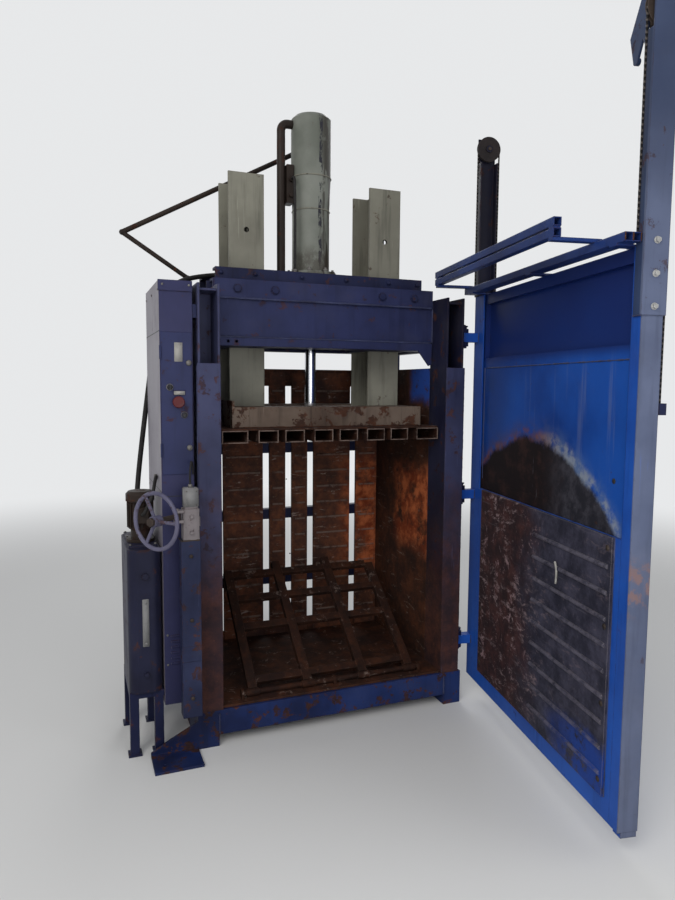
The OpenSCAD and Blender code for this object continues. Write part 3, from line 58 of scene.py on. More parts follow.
# ---------------------------------------------------------------- places, in metres
HINGE = Vector((0.72, -0.39, 0))
OPEN = math.radians(80)  # how far the door stands open
U = Vector((-math.cos(OPEN), -math.sin(OPEN), 0))  # from the hinges to the door's free end
V = Vector((-math.sin(OPEN), math.cos(OPEN), 0))  # towards the chamber
HINGE_ZS = (0.33, 1.13, 1.96)
COLUMN_X = 0.38
PIN_Z = 2.475
FLANGE_Z = 2.30
TANK_X, TANK_FRONT, MOTOR_Y = -0.93, -0.434, -0.10
CABINET_LEFT, CABINET_FRONT = -0.85, -0.4305
WEAR_U = (0.145, 1.295)  # the wear plate's sides
GATE_U = (0.095, 1.32)  # the gate panel's sides
TRAY_ANGLE = math.radians(38)
UP, FRONT, LEFT = (0, 0, 1), (0, -1, 0), (-1, 0, 0)


def door(u, v, z):
    """A point from the door's own coordinates, in metres."""
    return HINGE + U * u + V * v + Vector((0, 0, z))


# ---------------------------------------------------------------- materials
class Graph:
    """Short names for shader nodes."""

    def __init__(self, name):
        self.m = bpy.data.materials.new(name)
        self.m.use_nodes = True
        self.t = self.m.node_tree
        self.t.nodes.clear()
        self.out = self.t.nodes.new("ShaderNodeOutputMaterial")
        self.s = self.t.nodes.new("ShaderNodeBsdfPrincipled")
        self.t.links.new(self.s.outputs[0], self.out.inputs[0])
        self.p = self.t.nodes.new("ShaderNodeTexCoord").outputs["Object"]
        sep = self.t.nodes.new("ShaderNodeSeparateXYZ")
        self.t.links.new(self.p, sep.inputs[0])
        self.x, self.y, self.z = sep.outputs

    def put(self, sock, val):
        """Links or sets an input."""
        if isinstance(val, bpy.types.NodeSocket):
            self.t.links.new(val, sock)
        elif isinstance(val, tuple) and len(val) == 3 and sock.type == "RGBA":
            sock.default_value = (*val, 1)
        else:
            sock.default_value = val

    def f(self, op, a, b=0.0, c=None):
        n = self.t.nodes.new("ShaderNodeMath")
        n.operation = op
        self.put(n.inputs[0], a)
        self.put(n.inputs[1], b)
        if c is not None:
            self.put(n.inputs[2], c)
        return n.outputs[0]

    def mul(self, *vals):
        """The product of two or more values."""
        out = vals[0]
        for v in vals[1:]:
            out = self.f("MULTIPLY", out, v)
        return out

    def add(self, a, b):
        return self.f("ADD", a, b)

    def sub(self, a, b):
        return self.f("SUBTRACT", a, b)

    def dot(self, v, offset=(0, 0, 0)):
        """How far the point lies along v from offset."""
        n = self.t.nodes.new("ShaderNodeVectorMath")
        n.operation = "SUBTRACT"
        self.put(n.inputs[0], self.p)
        n.inputs[1].default_value = offset
        d = self.t.nodes.new("ShaderNodeVectorMath")
        d.operation = "DOT_PRODUCT"
        self.t.links.new(n.outputs[0], d.inputs[0])
        d.inputs[1].default_value = v
        return d.outputs["Value"]

    def stretch(self, sx, sy, sz):
        """The point with each axis scaled, so that noise runs out along the axis with the small factor."""
        n = self.t.nodes.new("ShaderNodeVectorMath")
        n.operation = "MULTIPLY"
        self.put(n.inputs[0], self.p)
        n.inputs[1].default_value = (sx, sy, sz)
        return n.outputs[0]

    def noise(self, scale, detail=4.0, rough=0.55, vec=None, dist=0.0):
        n = self.t.nodes.new("ShaderNodeTexNoise")
        self.put(n.inputs["Vector"], vec if vec is not None else self.p)
        n.inputs["Scale"].default_value = scale
        n.inputs["Detail"].default_value = detail
        n.inputs["Roughness"].default_value = rough
        n.inputs["Distortion"].default_value = dist
        return n.outputs[0]

    def step(self, val, lo, hi):
        """0 below lo, 1 above hi, smooth between; the other way round where lo > hi."""
        n = self.t.nodes.new("ShaderNodeMapRange")
        n.interpolation_type = "SMOOTHSTEP"
        self.put(n.inputs[0], val)
        n.inputs[1].default_value, n.inputs[2].default_value = min(lo, hi), max(lo, hi)
        n.inputs[3].default_value, n.inputs[4].default_value = (0, 1) if lo < hi else (1, 0)
        return n.outputs[0]

    def mix(self, fac, a, b):
        """Colour a where fac is 0, colour b where it is 1."""
        n = self.t.nodes.new("ShaderNodeMix")
        n.data_type = "RGBA"
        self.put(n.inputs[0], fac)
        self.put(n.inputs[6], a)
        self.put(n.inputs[7], b)
        return n.outputs[2]

    def lerp(self, fac, a, b):
        """Value a where fac is 0, value b where it is 1."""
        n = self.t.nodes.new("ShaderNodeMix")
        self.put(n.inputs[0], fac)
        self.put(n.inputs[2], a)
        self.put(n.inputs[3], b)
        return n.outputs[0]

    def tint(self, a, b):
        """Colour a multiplied by colour b."""
        n = self.t.nodes.new("ShaderNodeMix")
        n.data_type = "RGBA"
        n.blend_type = "MULTIPLY"
        n.inputs[0].default_value = 1.0
        self.put(n.inputs[6], a)
        self.put(n.inputs[7], b)
        return n.outputs[2]

    def edge(self, radius=0.004):
        """1 where an edge is near."""
        b = self.t.nodes.new("ShaderNodeBevel")
        b.samples = 4
        b.inputs["Radius"].default_value = radius
        g = self.t.nodes.new("ShaderNodeNewGeometry")
        d = self.t.nodes.new("ShaderNodeVectorMath")
        d.operation = "DOT_PRODUCT"
        self.t.links.new(b.outputs[0], d.inputs[0])
        self.t.links.new(g.outputs["Normal"], d.inputs[1])
        self.round = b.outputs[0]
        return self.step(d.outputs["Value"], 0.97, 0.75)

    def finish(self, color, rough, metal=0.0, height=None, strength=0.3, dist=0.002, spec=0.2):
        self.put(self.s.inputs["Base Color"], color)
        self.put(self.s.inputs["Roughness"], rough)
        self.put(self.s.inputs["Metallic"], metal)
        self.s.inputs["Specular IOR Level"].default_value = spec
        if height is not None:
            b = self.t.nodes.new("ShaderNodeBump")
            b.inputs["Strength"].default_value = strength
            b.inputs["Distance"].default_value = dist
            self.t.links.new(height, b.inputs["Height"])
            if hasattr(self, "round"):
                self.t.links.new(self.round, b.inputs["Normal"])
            self.t.links.new(b.outputs[0], self.s.inputs["Normal"])
        return self.m


def rust(g, scale=1.0):
    """Rust colours that change from place to place."""
    a = g.noise(9 * scale, 8, 0.7)
    b = g.noise(42 * scale, 6, 0.75)
    c = g.mix(g.step(a, 0.35, 0.7), (0.026, 0.013, 0.010), (0.085, 0.030, 0.015))
    return g.mix(g.step(b, 0.58, 0.82), c, (0.20, 0.075, 0.030))


def paint(name, base, light, worn=0.5, chips=0.62, low=None, streak=0.35, rough=0.42, edge=0.7, other=None,
          where=None, marks=None):
    """Worn paint over rusting steel. low is a height below which rust takes over. other is a second pair of colours,
    used where the mask that where(g) makes is 1. marks(g) gives pairs of a mask and the colour laid on there."""
    g = Graph(name)
    big = g.noise(1.7, 5, 0.6)
    fine = g.noise(70, 6, 0.7)
    mid = g.noise(14, 8, 0.68, dist=0.3)
    run = g.noise(5.0, 5, 0.6, vec=g.stretch(5, 5, 0.35))
    tone = g.step(big, 0.32, 0.68)
    col = g.mix(tone, base, light)
    if other:
        col = g.mix(where(g), col, g.mix(tone, *other))
    shade = g.mix(g.mul(g.step(run, 0.5, 0.72), streak), (1.0, 1.0, 1.0), (0.42, 0.42, 0.42))
    col = g.tint(col, shade)
    dust = g.step(g.noise(3.1, 6, 0.62), 0.48, 0.75)
    col = g.mix(g.mul(dust, 0.12), col, (0.10, 0.088, 0.078))
    e = g.mul(g.edge(0.005), g.step(g.noise(23, 5, 0.7), 0.42, 0.62))
    chip = g.step(g.add(mid, g.mul(fine, 0.16)), chips + 0.075, chips + 0.115)
    bare = g.f("MAXIMUM", g.mul(e, edge), g.mul(chip, worn))
    if low is not None:
        lo = g.add(g.z, g.mul(g.sub(g.noise(4, 6, 0.7), 0.5), 1.1))
        bare = g.f("MAXIMUM", bare, g.mul(g.step(lo, low[1], low[0]), low[2]))
    col = g.mix(bare, col, rust(g))
    scr = g.step(g.noise(60, 3, 0.6, vec=g.stretch(1, 1, 0.05)), 0.68, 0.74)
    col = g.mix(g.mul(scr, 0.22), col, tuple(min(1, c * 1.8 + 0.03) for c in light))
    for mask, mark in marks(g) if marks else ():
        col = g.mix(mask, col, mark)
    ro = g.lerp(bare, g.lerp(dust, rough, rough + 0.25), 0.85)
    h = g.add(g.mul(bare, -0.5), g.mul(fine, 0.3))
    return g.finish(col, ro, 0.0, h, 0.35, 0.0012, spec=0.12)


def outer_post(g):
    """The free end of the door."""
    return g.step(g.dot(tuple(U), tuple(HINGE)), 1.379, 1.383)


def painted_sheen_side(g):
    """Faces that look to the left, where the cabinet's pale lavender is painted reflection and light."""
    n = g.t.nodes.new("ShaderNodeSeparateXYZ")
    g.t.links.new(g.t.nodes.new("ShaderNodeTexCoord").outputs["Normal"], n.inputs[0])
    return g.step(n.outputs[0], -0.4, -0.6)


def post_rust(g):
    """Orange rust on the door's free post, below the gate."""
    spot = g.step(g.noise(11, 8, 0.72, dist=0.3), 0.50, 0.60)
    band = g.mul(g.step(g.z, 0.88, 0.98), g.step(g.z, 1.14, 1.06))
    return [(g.mul(spot, band, outer_post(g), 0.6), (0.24, 0.13, 0.095))]


def pin_hole_shade(g):
    """Painted shade: a near-black disc for the dark insides of the columns' pin holes."""
    a = g.sub(g.f("ABSOLUTE", g.x), COLUMN_X)
    c = g.sub(g.z, PIN_Z)
    r = g.f("SQRT", g.add(g.mul(a, a), g.mul(c, c)))
    return [(g.mul(g.step(r, 0.0135, 0.0123), g.step(g.y, -0.09, -0.10)), (0.010, 0.009, 0.008))]


def outer_mast(g):
    """The outer face of the free mast, paler towards its foot."""
    return g.mul(outer_post(g), g.lerp(g.step(g.z, 2.2, 2.75), 0.9, 0.28))


# NAVY is the machine's blue darkened to the navy it shows in shade, so it is partly painted shade.
NAVY, NAVY_L = (0.014, 0.017, 0.050), (0.026, 0.032, 0.092)
PALE_GREY_BLUE, PALE_GREY_BLUE_L = (0.075, 0.092, 0.155), (0.115, 0.138, 0.220)
mats = {
    "blue": paint("blue", NAVY, NAVY_L, worn=0.6, chips=0.60),
    # A still darker copy of the navy blue: painted shade.
    "blue_shaded": paint("blue_shaded", (0.009, 0.011, 0.034), (0.016, 0.021, 0.066), worn=0.6, chips=0.60, streak=0.5),
    "blue_bright": paint("blue_bright", (0.009, 0.050, 0.265), (0.016, 0.086, 0.40), worn=0.45, chips=0.64,
                         other=(PALE_GREY_BLUE, PALE_GREY_BLUE_L), where=outer_post, marks=post_rust),
    "gate_blue": paint("gate_blue", (0.010, 0.020, 0.080), (0.017, 0.042, 0.170), worn=0.45, chips=0.64),
    "post_paint": paint("post_paint", (0.024, 0.027, 0.062), (0.048, 0.053, 0.115), worn=0.7, chips=0.58,
                        low=(0.5, 1.35, 0.85)),
    # A darker copy of post_paint for the right post: painted shade of its channel in shadow.
    "post_shaded": paint("post_shaded", (0.007, 0.007, 0.018), (0.013, 0.014, 0.036), worn=0.7, chips=0.58,
                       low=(0.4, 1.2, 0.8)),
    "mast_dark": paint("mast_dark", (0.008, 0.008, 0.017), (0.015, 0.016, 0.035), worn=0.6, chips=0.60),
    "base_paint": paint("base_paint", (0.008, 0.011, 0.036), (0.014, 0.032, 0.130), worn=0.9, chips=0.54),
    "cream": paint("cream", (0.160, 0.155, 0.126), (0.240, 0.235, 0.192), worn=0.7, chips=0.635, streak=0.6, rough=0.5,
                   marks=pin_hole_shade),
    # The lavender pair on the left-facing faces is painted reflection and light on the navy cabinet.
    "cabinet": paint("cabinet", (0.020, 0.021, 0.056), (0.032, 0.034, 0.090), worn=0.4, chips=0.66, streak=0.2,
                     other=((0.190, 0.175, 0.210), (0.240, 0.225, 0.260)), where=painted_sheen_side),
    "platen_paint": paint("platen_paint", (0.070, 0.047, 0.036), (0.165, 0.125, 0.098), worn=0.9, chips=0.52,
                          streak=0.7, rough=0.55),
    "dark": paint("dark", (0.014, 0.011, 0.010), (0.030, 0.021, 0.017), worn=0.8, chips=0.58),
    "tank_paint": paint("tank_paint", (0.010, 0.010, 0.022), (0.018, 0.020, 0.046), worn=0.6, chips=0.60),
    "lock_blue": paint("lock_blue", (0.013, 0.016, 0.040), (0.032, 0.040, 0.090), worn=0.75, chips=0.57),
    "lock_head": paint("lock_head", (0.150, 0.132, 0.138), (0.240, 0.215, 0.222), worn=0.7, chips=0.60),
    "mast_paint": paint("mast_paint", (0.018, 0.030, 0.072), (0.034, 0.054, 0.118), worn=0.6, chips=0.60,
                        other=(PALE_GREY_BLUE, PALE_GREY_BLUE_L), where=outer_mast),
    "wheel": paint("wheel", (0.080, 0.078, 0.128), (0.150, 0.144, 0.215), worn=0.7, chips=0.58, rough=0.35),
}


def bare_steel(name, dark, light, rough=0.6, metal=0.3, scratch=0.5):
    g = Graph(name)
    n = g.noise(6, 8, 0.7)
    fine = g.noise(85, 6, 0.75)
    col = g.mix(g.step(n, 0.3, 0.7), dark, light)
    e = g.edge(0.003)
    col = g.mix(g.mul(e, 0.5), col, tuple(min(1, c * 2.2 + 0.05) for c in light))
    sc = g.step(g.noise(40, 4, 0.6, vec=g.stretch(0.12, 0.12, 1.6)), 0.6, 0.72)
    col = g.mix(g.mul(sc, scratch), col, tuple(min(1, c * 1.8 + 0.04) for c in light))
    return g.finish(col, g.lerp(fine, rough - 0.15, rough + 0.2), metal, fine, 0.3, 0.001)


mats["steel_worn"] = bare_steel("steel_worn", (0.10, 0.095, 0.09), (0.22, 0.21, 0.20))
mats["bolt_zinc"] = bare_steel("bolt_zinc", (0.24, 0.24, 0.24), (0.38, 0.38, 0.37), 0.5, 0.2, 0.3)
mats["steel_dark"] = bare_steel("steel_dark", (0.022, 0.017, 0.015), (0.060, 0.044, 0.036), 0.7, 0.1, 0.3)
mats["sheave"] = bare_steel("sheave", (0.008, 0.007, 0.008), (0.024, 0.018, 0.018), 0.7, 0.1, 0.2)


def rusty(name, patch=None, blue=None, pale=0.0, horizontal=True, dark=1.0, proud=None, outside=None):
    """Rusted plate. patch is a list of (low x, high x, low y, high y, low z, high z) of brighter rust, blue of paint
    that is left. pale is how much it is scraped and dark what its colour is multiplied by. What stands in front of
    the depth proud is made lighter, worn steel with painted highlight on the bead tops. outside is a direction and how
    far along it the painted outside starts."""
    g = Graph(name)
    col = rust(g)
    fine = g.noise(60, 7, 0.75)
    blot = g.noise(4.5, 7, 0.68, dist=0.4)
    col = g.mix(g.mul(g.step(blot, 0.46, 0.66), 0.7), col, (0.016, 0.009, 0.009))
    col = g.tint(col, (dark, dark, dark))
    if pale:
        v = g.stretch(0.5, 0.5, 2.2) if horizontal else g.p
        sp = g.noise(16, 9, 0.78, vec=v, dist=0.6)
        col = g.mix(g.mul(g.step(sp, 0.58, 0.64), pale), col, (0.30, 0.23, 0.20))

    def inside(b, soft):
        m = None
        wob = g.mul(g.sub(g.noise(5, 7, 0.7), 0.5), soft * 3)
        for axis, lo, hi in ((g.x, b[0], b[1]), (g.y, b[2], b[3]), (g.z, b[4], b[5])):
            q = g.add(axis, wob)
            k = g.mul(g.step(q, lo - soft, lo + soft), g.step(q, hi + soft, hi - soft))
            m = k if m is None else g.mul(m, k)
        return m

    if patch:
        hot = g.mix(g.step(g.noise(13, 8, 0.72), 0.4, 0.62), (0.16, 0.032, 0.012), (0.42, 0.115, 0.042))
        for b in patch:
            col = g.mix(g.mul(inside(b, 0.07), g.step(g.noise(7, 8, 0.72), 0.36, 0.52)), col, hot)
    if blue:
        for b in blue:
            chip = g.step(g.noise(15, 8, 0.7), 0.36, 0.44)
            col = g.mix(g.mul(inside(b, 0.035), chip), col, (0.018, 0.055, 0.26))
    if proud is not None:
        # Protruding bead tops made lighter: worn steel with painted highlight.
        worn_and_highlight = g.mul(g.step(g.y, proud + 0.0012, proud - 0.0012), g.step(g.noise(18, 6, 0.7), 0.34, 0.56))
        col = g.mix(g.mul(worn_and_highlight, 0.7), col, (0.19, 0.145, 0.125))
    if outside:
        # The painted outside uses a darkened navy, partly painted shade.
        coat = g.mix(g.step(g.noise(1.7, 5, 0.6), 0.32, 0.68), (0.010, 0.013, 0.042), (0.018, 0.024, 0.078))
        left = g.mul(g.step(g.dot(outside[0]), outside[1] - 0.0005, outside[1] + 0.0005),
                   g.step(g.add(blot, g.mul(fine, 0.15)), 0.70, 0.64))
        col = g.mix(left, col, coat)
    e = g.edge(0.003)
    col = g.mix(g.mul(e, 0.30), col, (0.17, 0.12, 0.095))
    return g.finish(col, g.lerp(fine, 0.6, 0.9), 0.05, g.add(fine, g.mul(blot, 0.5)), 0.5, 0.002,
                    spec=0.12)


mats["rust"] = rusty("rust", pale=0.25)
mats["wall_right"] = rusty("wall_right", pale=0.35, patch=[(0.5, 0.7, -0.38, 0.10, 0.80, 1.24)],
                           blue=[(0.5, 0.7, -0.60, -0.06, 1.63, 1.90)], outside=((1, 0, 0), 0.5915))
mats["wall_left"] = rusty("wall_left", pale=0.4, dark=1.3, blue=[(-0.7, -0.5, -0.60, 0.0, 1.60, 1.90)],
                          outside=(LEFT, 0.5915))
mats["liner"] = rusty("liner", pale=0.85, dark=2.0, proud=0.3885, patch=[(0.36, 0.60, 0.3, 0.5, 0.55, 1.25)])
mats["rear_wall"] = rusty("rear_wall", pale=0.4, dark=1.3, outside=((0, 1, 0), 0.4065))
mats["floor"] = rusty("floor", pale=0.55, horizontal=False)
mats["tubes"] = rusty("tubes", pale=0.35, dark=0.7, proud=-0.3985)
mats["tray"] = rusty("tray", pale=0.35, horizontal=False, dark=0.6)


def gate_look():
    """Blue panel with a burnt arch and pale runs."""
    g = Graph("gate_look")
    u, z = g.dot(tuple(U), tuple(HINGE)), g.z
    big, fine = g.noise(1.5, 5, 0.6), g.noise(75, 6, 0.7)
    col = g.mix(g.step(big, 0.35, 0.65), (0.006, 0.036, 0.200), (0.010, 0.068, 0.330))
    top = g.step(z, 1.80, 1.86)
    col = g.mix(g.mul(top, 0.85), col, (0.007, 0.016, 0.095))
    run = g.noise(7, 5, 0.62, vec=g.stretch(4, 4, 0.16))
    runs = g.mul(g.step(run, 0.56, 0.68), g.step(z, 1.86, 1.72), 0.30)
    col = g.mix(runs, col, (0.14, 0.17, 0.28))
    soot = g.mul(g.step(u, 0.50, 0.10), g.step(g.noise(3, 6, 0.66), 0.35, 0.62))
    col = g.mix(g.mul(soot, 0.55), col, (0.010, 0.013, 0.040))
    middle, half_width, crown, drop = 0.62, 0.62, 1.475, 0.26
    q = g.f("DIVIDE", g.sub(u, middle), half_width)
    arch = g.f("MULTIPLY_ADD", g.mul(q, q), -drop, crown)
    wob = g.mul(g.sub(g.noise(6, 7, 0.7), 0.5), 0.13)
    d = g.add(g.sub(z, arch), wob)
    cold = g.step(u, 0.62, 0.95)
    halo = g.mul(g.step(d, 0.13, 0.01), g.step(g.noise(12, 6, 0.7), 0.38, 0.60))
    col = g.mix(g.mul(halo, 0.75), col, g.mix(cold, (0.060, 0.045, 0.085), (0.095, 0.150, 0.260)))
    wide = g.f("MULTIPLY_ADD", cold, -0.02, d)
    rim = g.mul(g.step(wide, 0.055, 0.015), g.step(g.noise(17, 7, 0.72), 0.40, 0.60))
    col = g.mix(g.mul(rim, 0.8), col, g.mix(cold, (0.150, 0.050, 0.024), (0.250, 0.275, 0.310)))
    inner = g.step(d, 0.02, -0.02)
    dark = g.mix(g.step(g.noise(10, 8, 0.72), 0.46, 0.72), (0.008, 0.005, 0.006), (0.034, 0.016, 0.014))
    ash = g.mix(g.step(g.noise(13, 8, 0.72), 0.40, 0.66), (0.014, 0.014, 0.020), (0.046, 0.044, 0.056))
    dark = g.mix(g.step(g.add(u, wob), 0.72, 0.95), dark, ash)
    drip = g.step(g.noise(11, 5, 0.6, vec=g.stretch(4, 4, 0.5)), 0.66, 0.70)
    dark = g.mix(g.mul(g.mul(drip, 0.6), g.step(u, 0.55, 0.75)), dark, (0.16, 0.16, 0.18))
    col = g.mix(inner, col, dark)
    chip = g.step(g.noise(19, 8, 0.7), 0.66, 0.70)
    col = g.mix(g.mul(chip, 0.7), col, rust(g))
    h = g.add(g.mul(inner, -0.6), g.mul(fine, 0.25))
    return g.finish(col, g.lerp(inner, 0.38, 0.75), 0.0, h, 0.35, 0.0015, spec=0.14)


def wear_look():
    """Scuffed wear plate: red rust with pale scrapes on the hinge side, slate on the free side."""
    g = Graph("wear_look")
    u, z = g.dot(tuple(U), tuple(HINGE)), g.z
    v = g.dot(tuple(V), tuple(HINGE))
    fine = g.noise(70, 7, 0.75)
    wob = g.mul(g.sub(g.noise(3, 6, 0.7), 0.5), 0.5)
    uu = g.add(u, wob)
    slate = g.mix(g.step(g.noise(8, 8, 0.72), 0.35, 0.7), (0.018, 0.018, 0.030), (0.058, 0.056, 0.086))
    red = g.mix(g.step(g.noise(11, 8, 0.72), 0.42, 0.64), (0.022, 0.012, 0.014), (0.062, 0.026, 0.025))
    col = g.mix(g.step(uu, 0.80, 0.52), slate, red)
    sp = g.noise(22, 9, 0.8, vec=g.stretch(0.6, 0.6, 1.4), dist=0.5)
    blotch = g.step(g.noise(4, 7, 0.7), 0.42, 0.56)
    amount = g.mul(g.lerp(g.step(uu, 0.95, 0.45), 0.15, 0.85), blotch)
    col = g.mix(g.mul(g.step(sp, 0.52, 0.62), amount), col, (0.34, 0.25, 0.26))
    flake = g.mul(g.step(g.noise(14, 9, 0.8, dist=0.8), 0.57, 0.62), g.step(uu, 0.85, 0.55))
    col = g.mix(g.mul(flake, 0.75), col, (0.33, 0.22, 0.235))
    line = g.noise(26, 4, 0.6, vec=g.stretch(0.10, 0.10, 2.4))
    col = g.mix(g.mul(g.step(line, 0.62, 0.72), 0.25), col, (0.16, 0.15, 0.18))
    low = g.add(z, g.mul(wob, 0.6))
    blue = g.mul(g.step(low, 0.42, 0.32), g.step(uu, 0.85, 1.1))
    col = g.mix(g.mul(blue, g.step(g.noise(9, 8, 0.7), 0.40, 0.50)), col, (0.014, 0.045, 0.23))
    # Bead tops made paler: partly worn steel, partly painted highlight.
    bead_top_wear_and_highlight = g.mul(g.step(v, -0.0595, -0.0570), g.step(g.noise(20, 6, 0.7), 0.35, 0.60))
    col = g.mix(g.mul(bead_top_wear_and_highlight, 0.6), col, (0.135, 0.125, 0.160))
    e = g.edge(0.004)
    col = g.mix(g.mul(e, 0.6), col, (0.24, 0.22, 0.23))
    return g.finish(col, g.lerp(fine, 0.5, 0.85), 0.1, g.add(fine, sp), 0.45, 0.0018, spec=0.15)


def barrel_look():
    """Grey-green paint with oil runs."""
    g = Graph("barrel_look")
    big, fine = g.noise(2.2, 5, 0.6), g.noise(80, 6, 0.7)
    col = g.mix(g.step(big, 0.35, 0.65), (0.125, 0.135, 0.115), (0.205, 0.215, 0.190))
    blot = g.noise(7, 8, 0.72, dist=0.5)
    side = g.step(g.x, -0.01, 0.05)
    drip = g.noise(8, 6, 0.66, vec=g.stretch(2.4, 2.4, 0.28), dist=0.3)
    m = g.mul(g.step(drip, 0.47, 0.53), g.mul(side, g.step(blot, 0.36, 0.48)))
    col = g.mix(g.mul(m, 0.92), col, (0.030, 0.026, 0.020))
    off = g.f("ABSOLUTE", g.sub(g.add(g.x, g.mul(g.noise(6, 5, 0.7), 0.03)), 0.034))
    torn = g.step(g.noise(15, 7, 0.75, vec=g.stretch(1.6, 1, 0.7)), 0.49, 0.53)
    flaked = g.mul(g.step(off, 0.011, 0.007), torn, g.step(g.y, 0.0, -0.05))
    col = g.mix(flaked, col, (0.014, 0.014, 0.022))
    band = g.mul(g.step(g.z, 2.46, 2.36), g.step(g.noise(9, 7, 0.7), 0.40, 0.55))
    col = g.mix(g.mul(band, 0.65), col, (0.045, 0.036, 0.028))
    chip = g.step(g.noise(24, 8, 0.72), 0.64, 0.68)
    col = g.mix(g.mul(chip, 0.8), col, (0.09, 0.065, 0.05))
    g.edge(0.004)
    return g.finish(col, g.lerp(m, 0.48, 0.28), 0.0, g.add(fine, g.mul(chip, -1.0)), 0.3, 0.001)


def rod_look():
    g = Graph("rod_look")
    n = g.noise(5, 4, 0.6, vec=g.stretch(3, 3, 0.3))
    col = g.mix(g.step(n, 0.4, 0.65), (0.62, 0.63, 0.66), (0.42, 0.42, 0.42))
    foot = g.step(g.z, 1.62, 1.58)
    col = g.mix(foot, col, (0.06, 0.045, 0.04))
    return g.finish(col, g.lerp(foot, 0.16, 0.7), g.lerp(foot, 1.0, 0.1), g.noise(120, 3, 0.6), 0.05, 0.0004)


def chain_look():
    """Rows of dark links with painted shade in the gaps between them."""
    g = Graph("chain_look")
    w = g.f("SINE", g.mul(g.z, 330.0))
    col = g.mix(g.step(w, -0.2, 0.5), (0.010, 0.009, 0.009), (0.075, 0.065, 0.060))
    return g.finish(col, 0.45, 0.4, w, 0.9, 0.003)


def plastic(name, col, rough=0.4):
    g = Graph(name)
    n = g.noise(30, 6, 0.7)
    c = g.mix(g.step(n, 0.5, 0.72), col, tuple(k * 0.55 + 0.03 for k in col))
    return g.finish(c, g.lerp(n, rough, rough + 0.2), 0.0, n, 0.12, 0.0006)


mats["gate_look"], mats["wear_look"], mats["barrel_look"] = gate_look(), wear_look(), barrel_look()
mats["rod_look"], mats["chain_look"] = rod_look(), chain_look()
mats["red"] = plastic("red", (0.085, 0.010, 0.012), 0.35)
mats["black"] = plastic("black", (0.018, 0.018, 0.020), 0.4)
mats["plate_white"] = plastic("plate_white", (0.33, 0.32, 0.30), 0.45)
mats["grey_box"] = plastic("grey_box", (0.20, 0.20, 0.20), 0.5)
mats["rubber"] = plastic("rubber", (0.014, 0.013, 0.013), 0.55)
mats["weld"] = bare_steel("weld", (0.020, 0.022, 0.050), (0.050, 0.060, 0.13), 0.5, 0.0, 0.1)

LOOK = {
    "base_frame": "base_paint", "floor_plate": "floor", "post_left": "post_paint", "post_right": "post_shaded",
    "jamb_plates": "post_paint", "wall_left": "wall_left", "wall_right": "wall_right", "rear_wall": "rear_wall",
    "rear_liner": "liner", "rear_frame": "blue_shaded", "side_beams": "blue_shaded", "header_beam": "blue",
    "header_bolts": "blue_shaded", "crosshead": "blue_shaded", "column_guides": "blue_shaded",
    "cylinder_mount": "blue_shaded", "barrel": "barrel_look", "gland": "steel_worn", "supply_pipe": "dark",
    "valve_block": "dark", "return_pipe": "dark", "piston_rod": "rod_look", "columns": "cream",
    "platen_tubes": "tubes", "platen_plate": "tubes", "platen_beams": "platen_paint", "hinge_lugs": "blue_shaded",
    "door_frame": "blue_bright", "door_skin": "blue_bright", "wear_plate": "wear_look", "mast_hinge": "mast_dark",
    "mast_free": "mast_paint", "mast_bolts": "bolt_zinc", "gate_frame": "gate_look", "gate_panels": "gate_look",
    "tube_frame": "gate_blue", "sheave_hinge": "sheave", "sheave_free": "steel_dark",
    "lift_chains": "chain_look", "return_chains": "chain_look", "counterweight": "blue_shaded",
    "ejector_tray": "tray", "tray_rod": "tray", "cabinet_body": "cabinet", "cabinet_brackets": "blue_shaded",
    "cabinet_door": "blue", "e_stop": "red", "push_button": "black", "selector": "black",
    "tank": "tank_paint", "tank_stand": "blue_shaded", "motor": "dark", "lock_lugs": "blue_shaded",
    "lock_bar": "lock_blue", "lock_head": "lock_head", "spindle": "steel_dark", "handwheel": "wheel",
}
for n, o in nodes.items():
    o.data.materials.clear()
    o.data.materials.append(mats[LOOK[n]])


# ---------------------------------------------------------------- pieces
def piece(name, bm, mat, body, smooth=True):
    """Makes an object of the mesh and lets it ride on a body."""
    me = bpy.data.meshes.new(name)
    bm.to_mesh(me)
    bm.free()
    for p in me.polygons:
        p.use_smooth = smooth
    me.materials.append(mats[mat])
    o = bpy.data.objects.new(name, me)
    bpy.context.scene.collection.objects.link(o)
    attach(o, body)
    return o


def tube_along(bm, pts, r, seg=10, wobble=0.0):
    """A round tube through points; wobble varies its radius like a weld."""
    pts = [Vector(p) for p in pts]
    rings = []
    for i, p in enumerate(pts):
        t = (pts[min(i + 1, len(pts) - 1)] - pts[max(i - 1, 0)]).normalized()
        a = t.orthogonal().normalized() if i == 0 else (rings[-1][1] - t * rings[-1][1].dot(t)).normalized()
        b = t.cross(a)
        rr = r * (1 + wobble * (rnd.random() - 0.5) * 2)
        rings.append(([bm.verts.new(p + (a * math.cos(k * math.tau / seg) + b * math.sin(k * math.tau / seg)) * rr)
                       for k in range(seg)], a))
    for (r0, _), (r1, _) in zip(rings, rings[1:]):
        for k in range(seg):
            bm.faces.new((r0[k], r0[(k + 1) % seg], r1[(k + 1) % seg], r1[k]))
    for r0 in (rings[0][0], rings[-1][0]):
        bm.faces.new(r0)


def weld_line(bm, a, b, r=0.004):
    """A weld bead with uneven radius."""
    a, b = Vector(a), Vector(b)
    n = max(3, int((b - a).length / 0.011))
    tube_along(bm, [a.lerp(b, i / n) for i in range(n + 1)], r, 6, wobble=0.35)


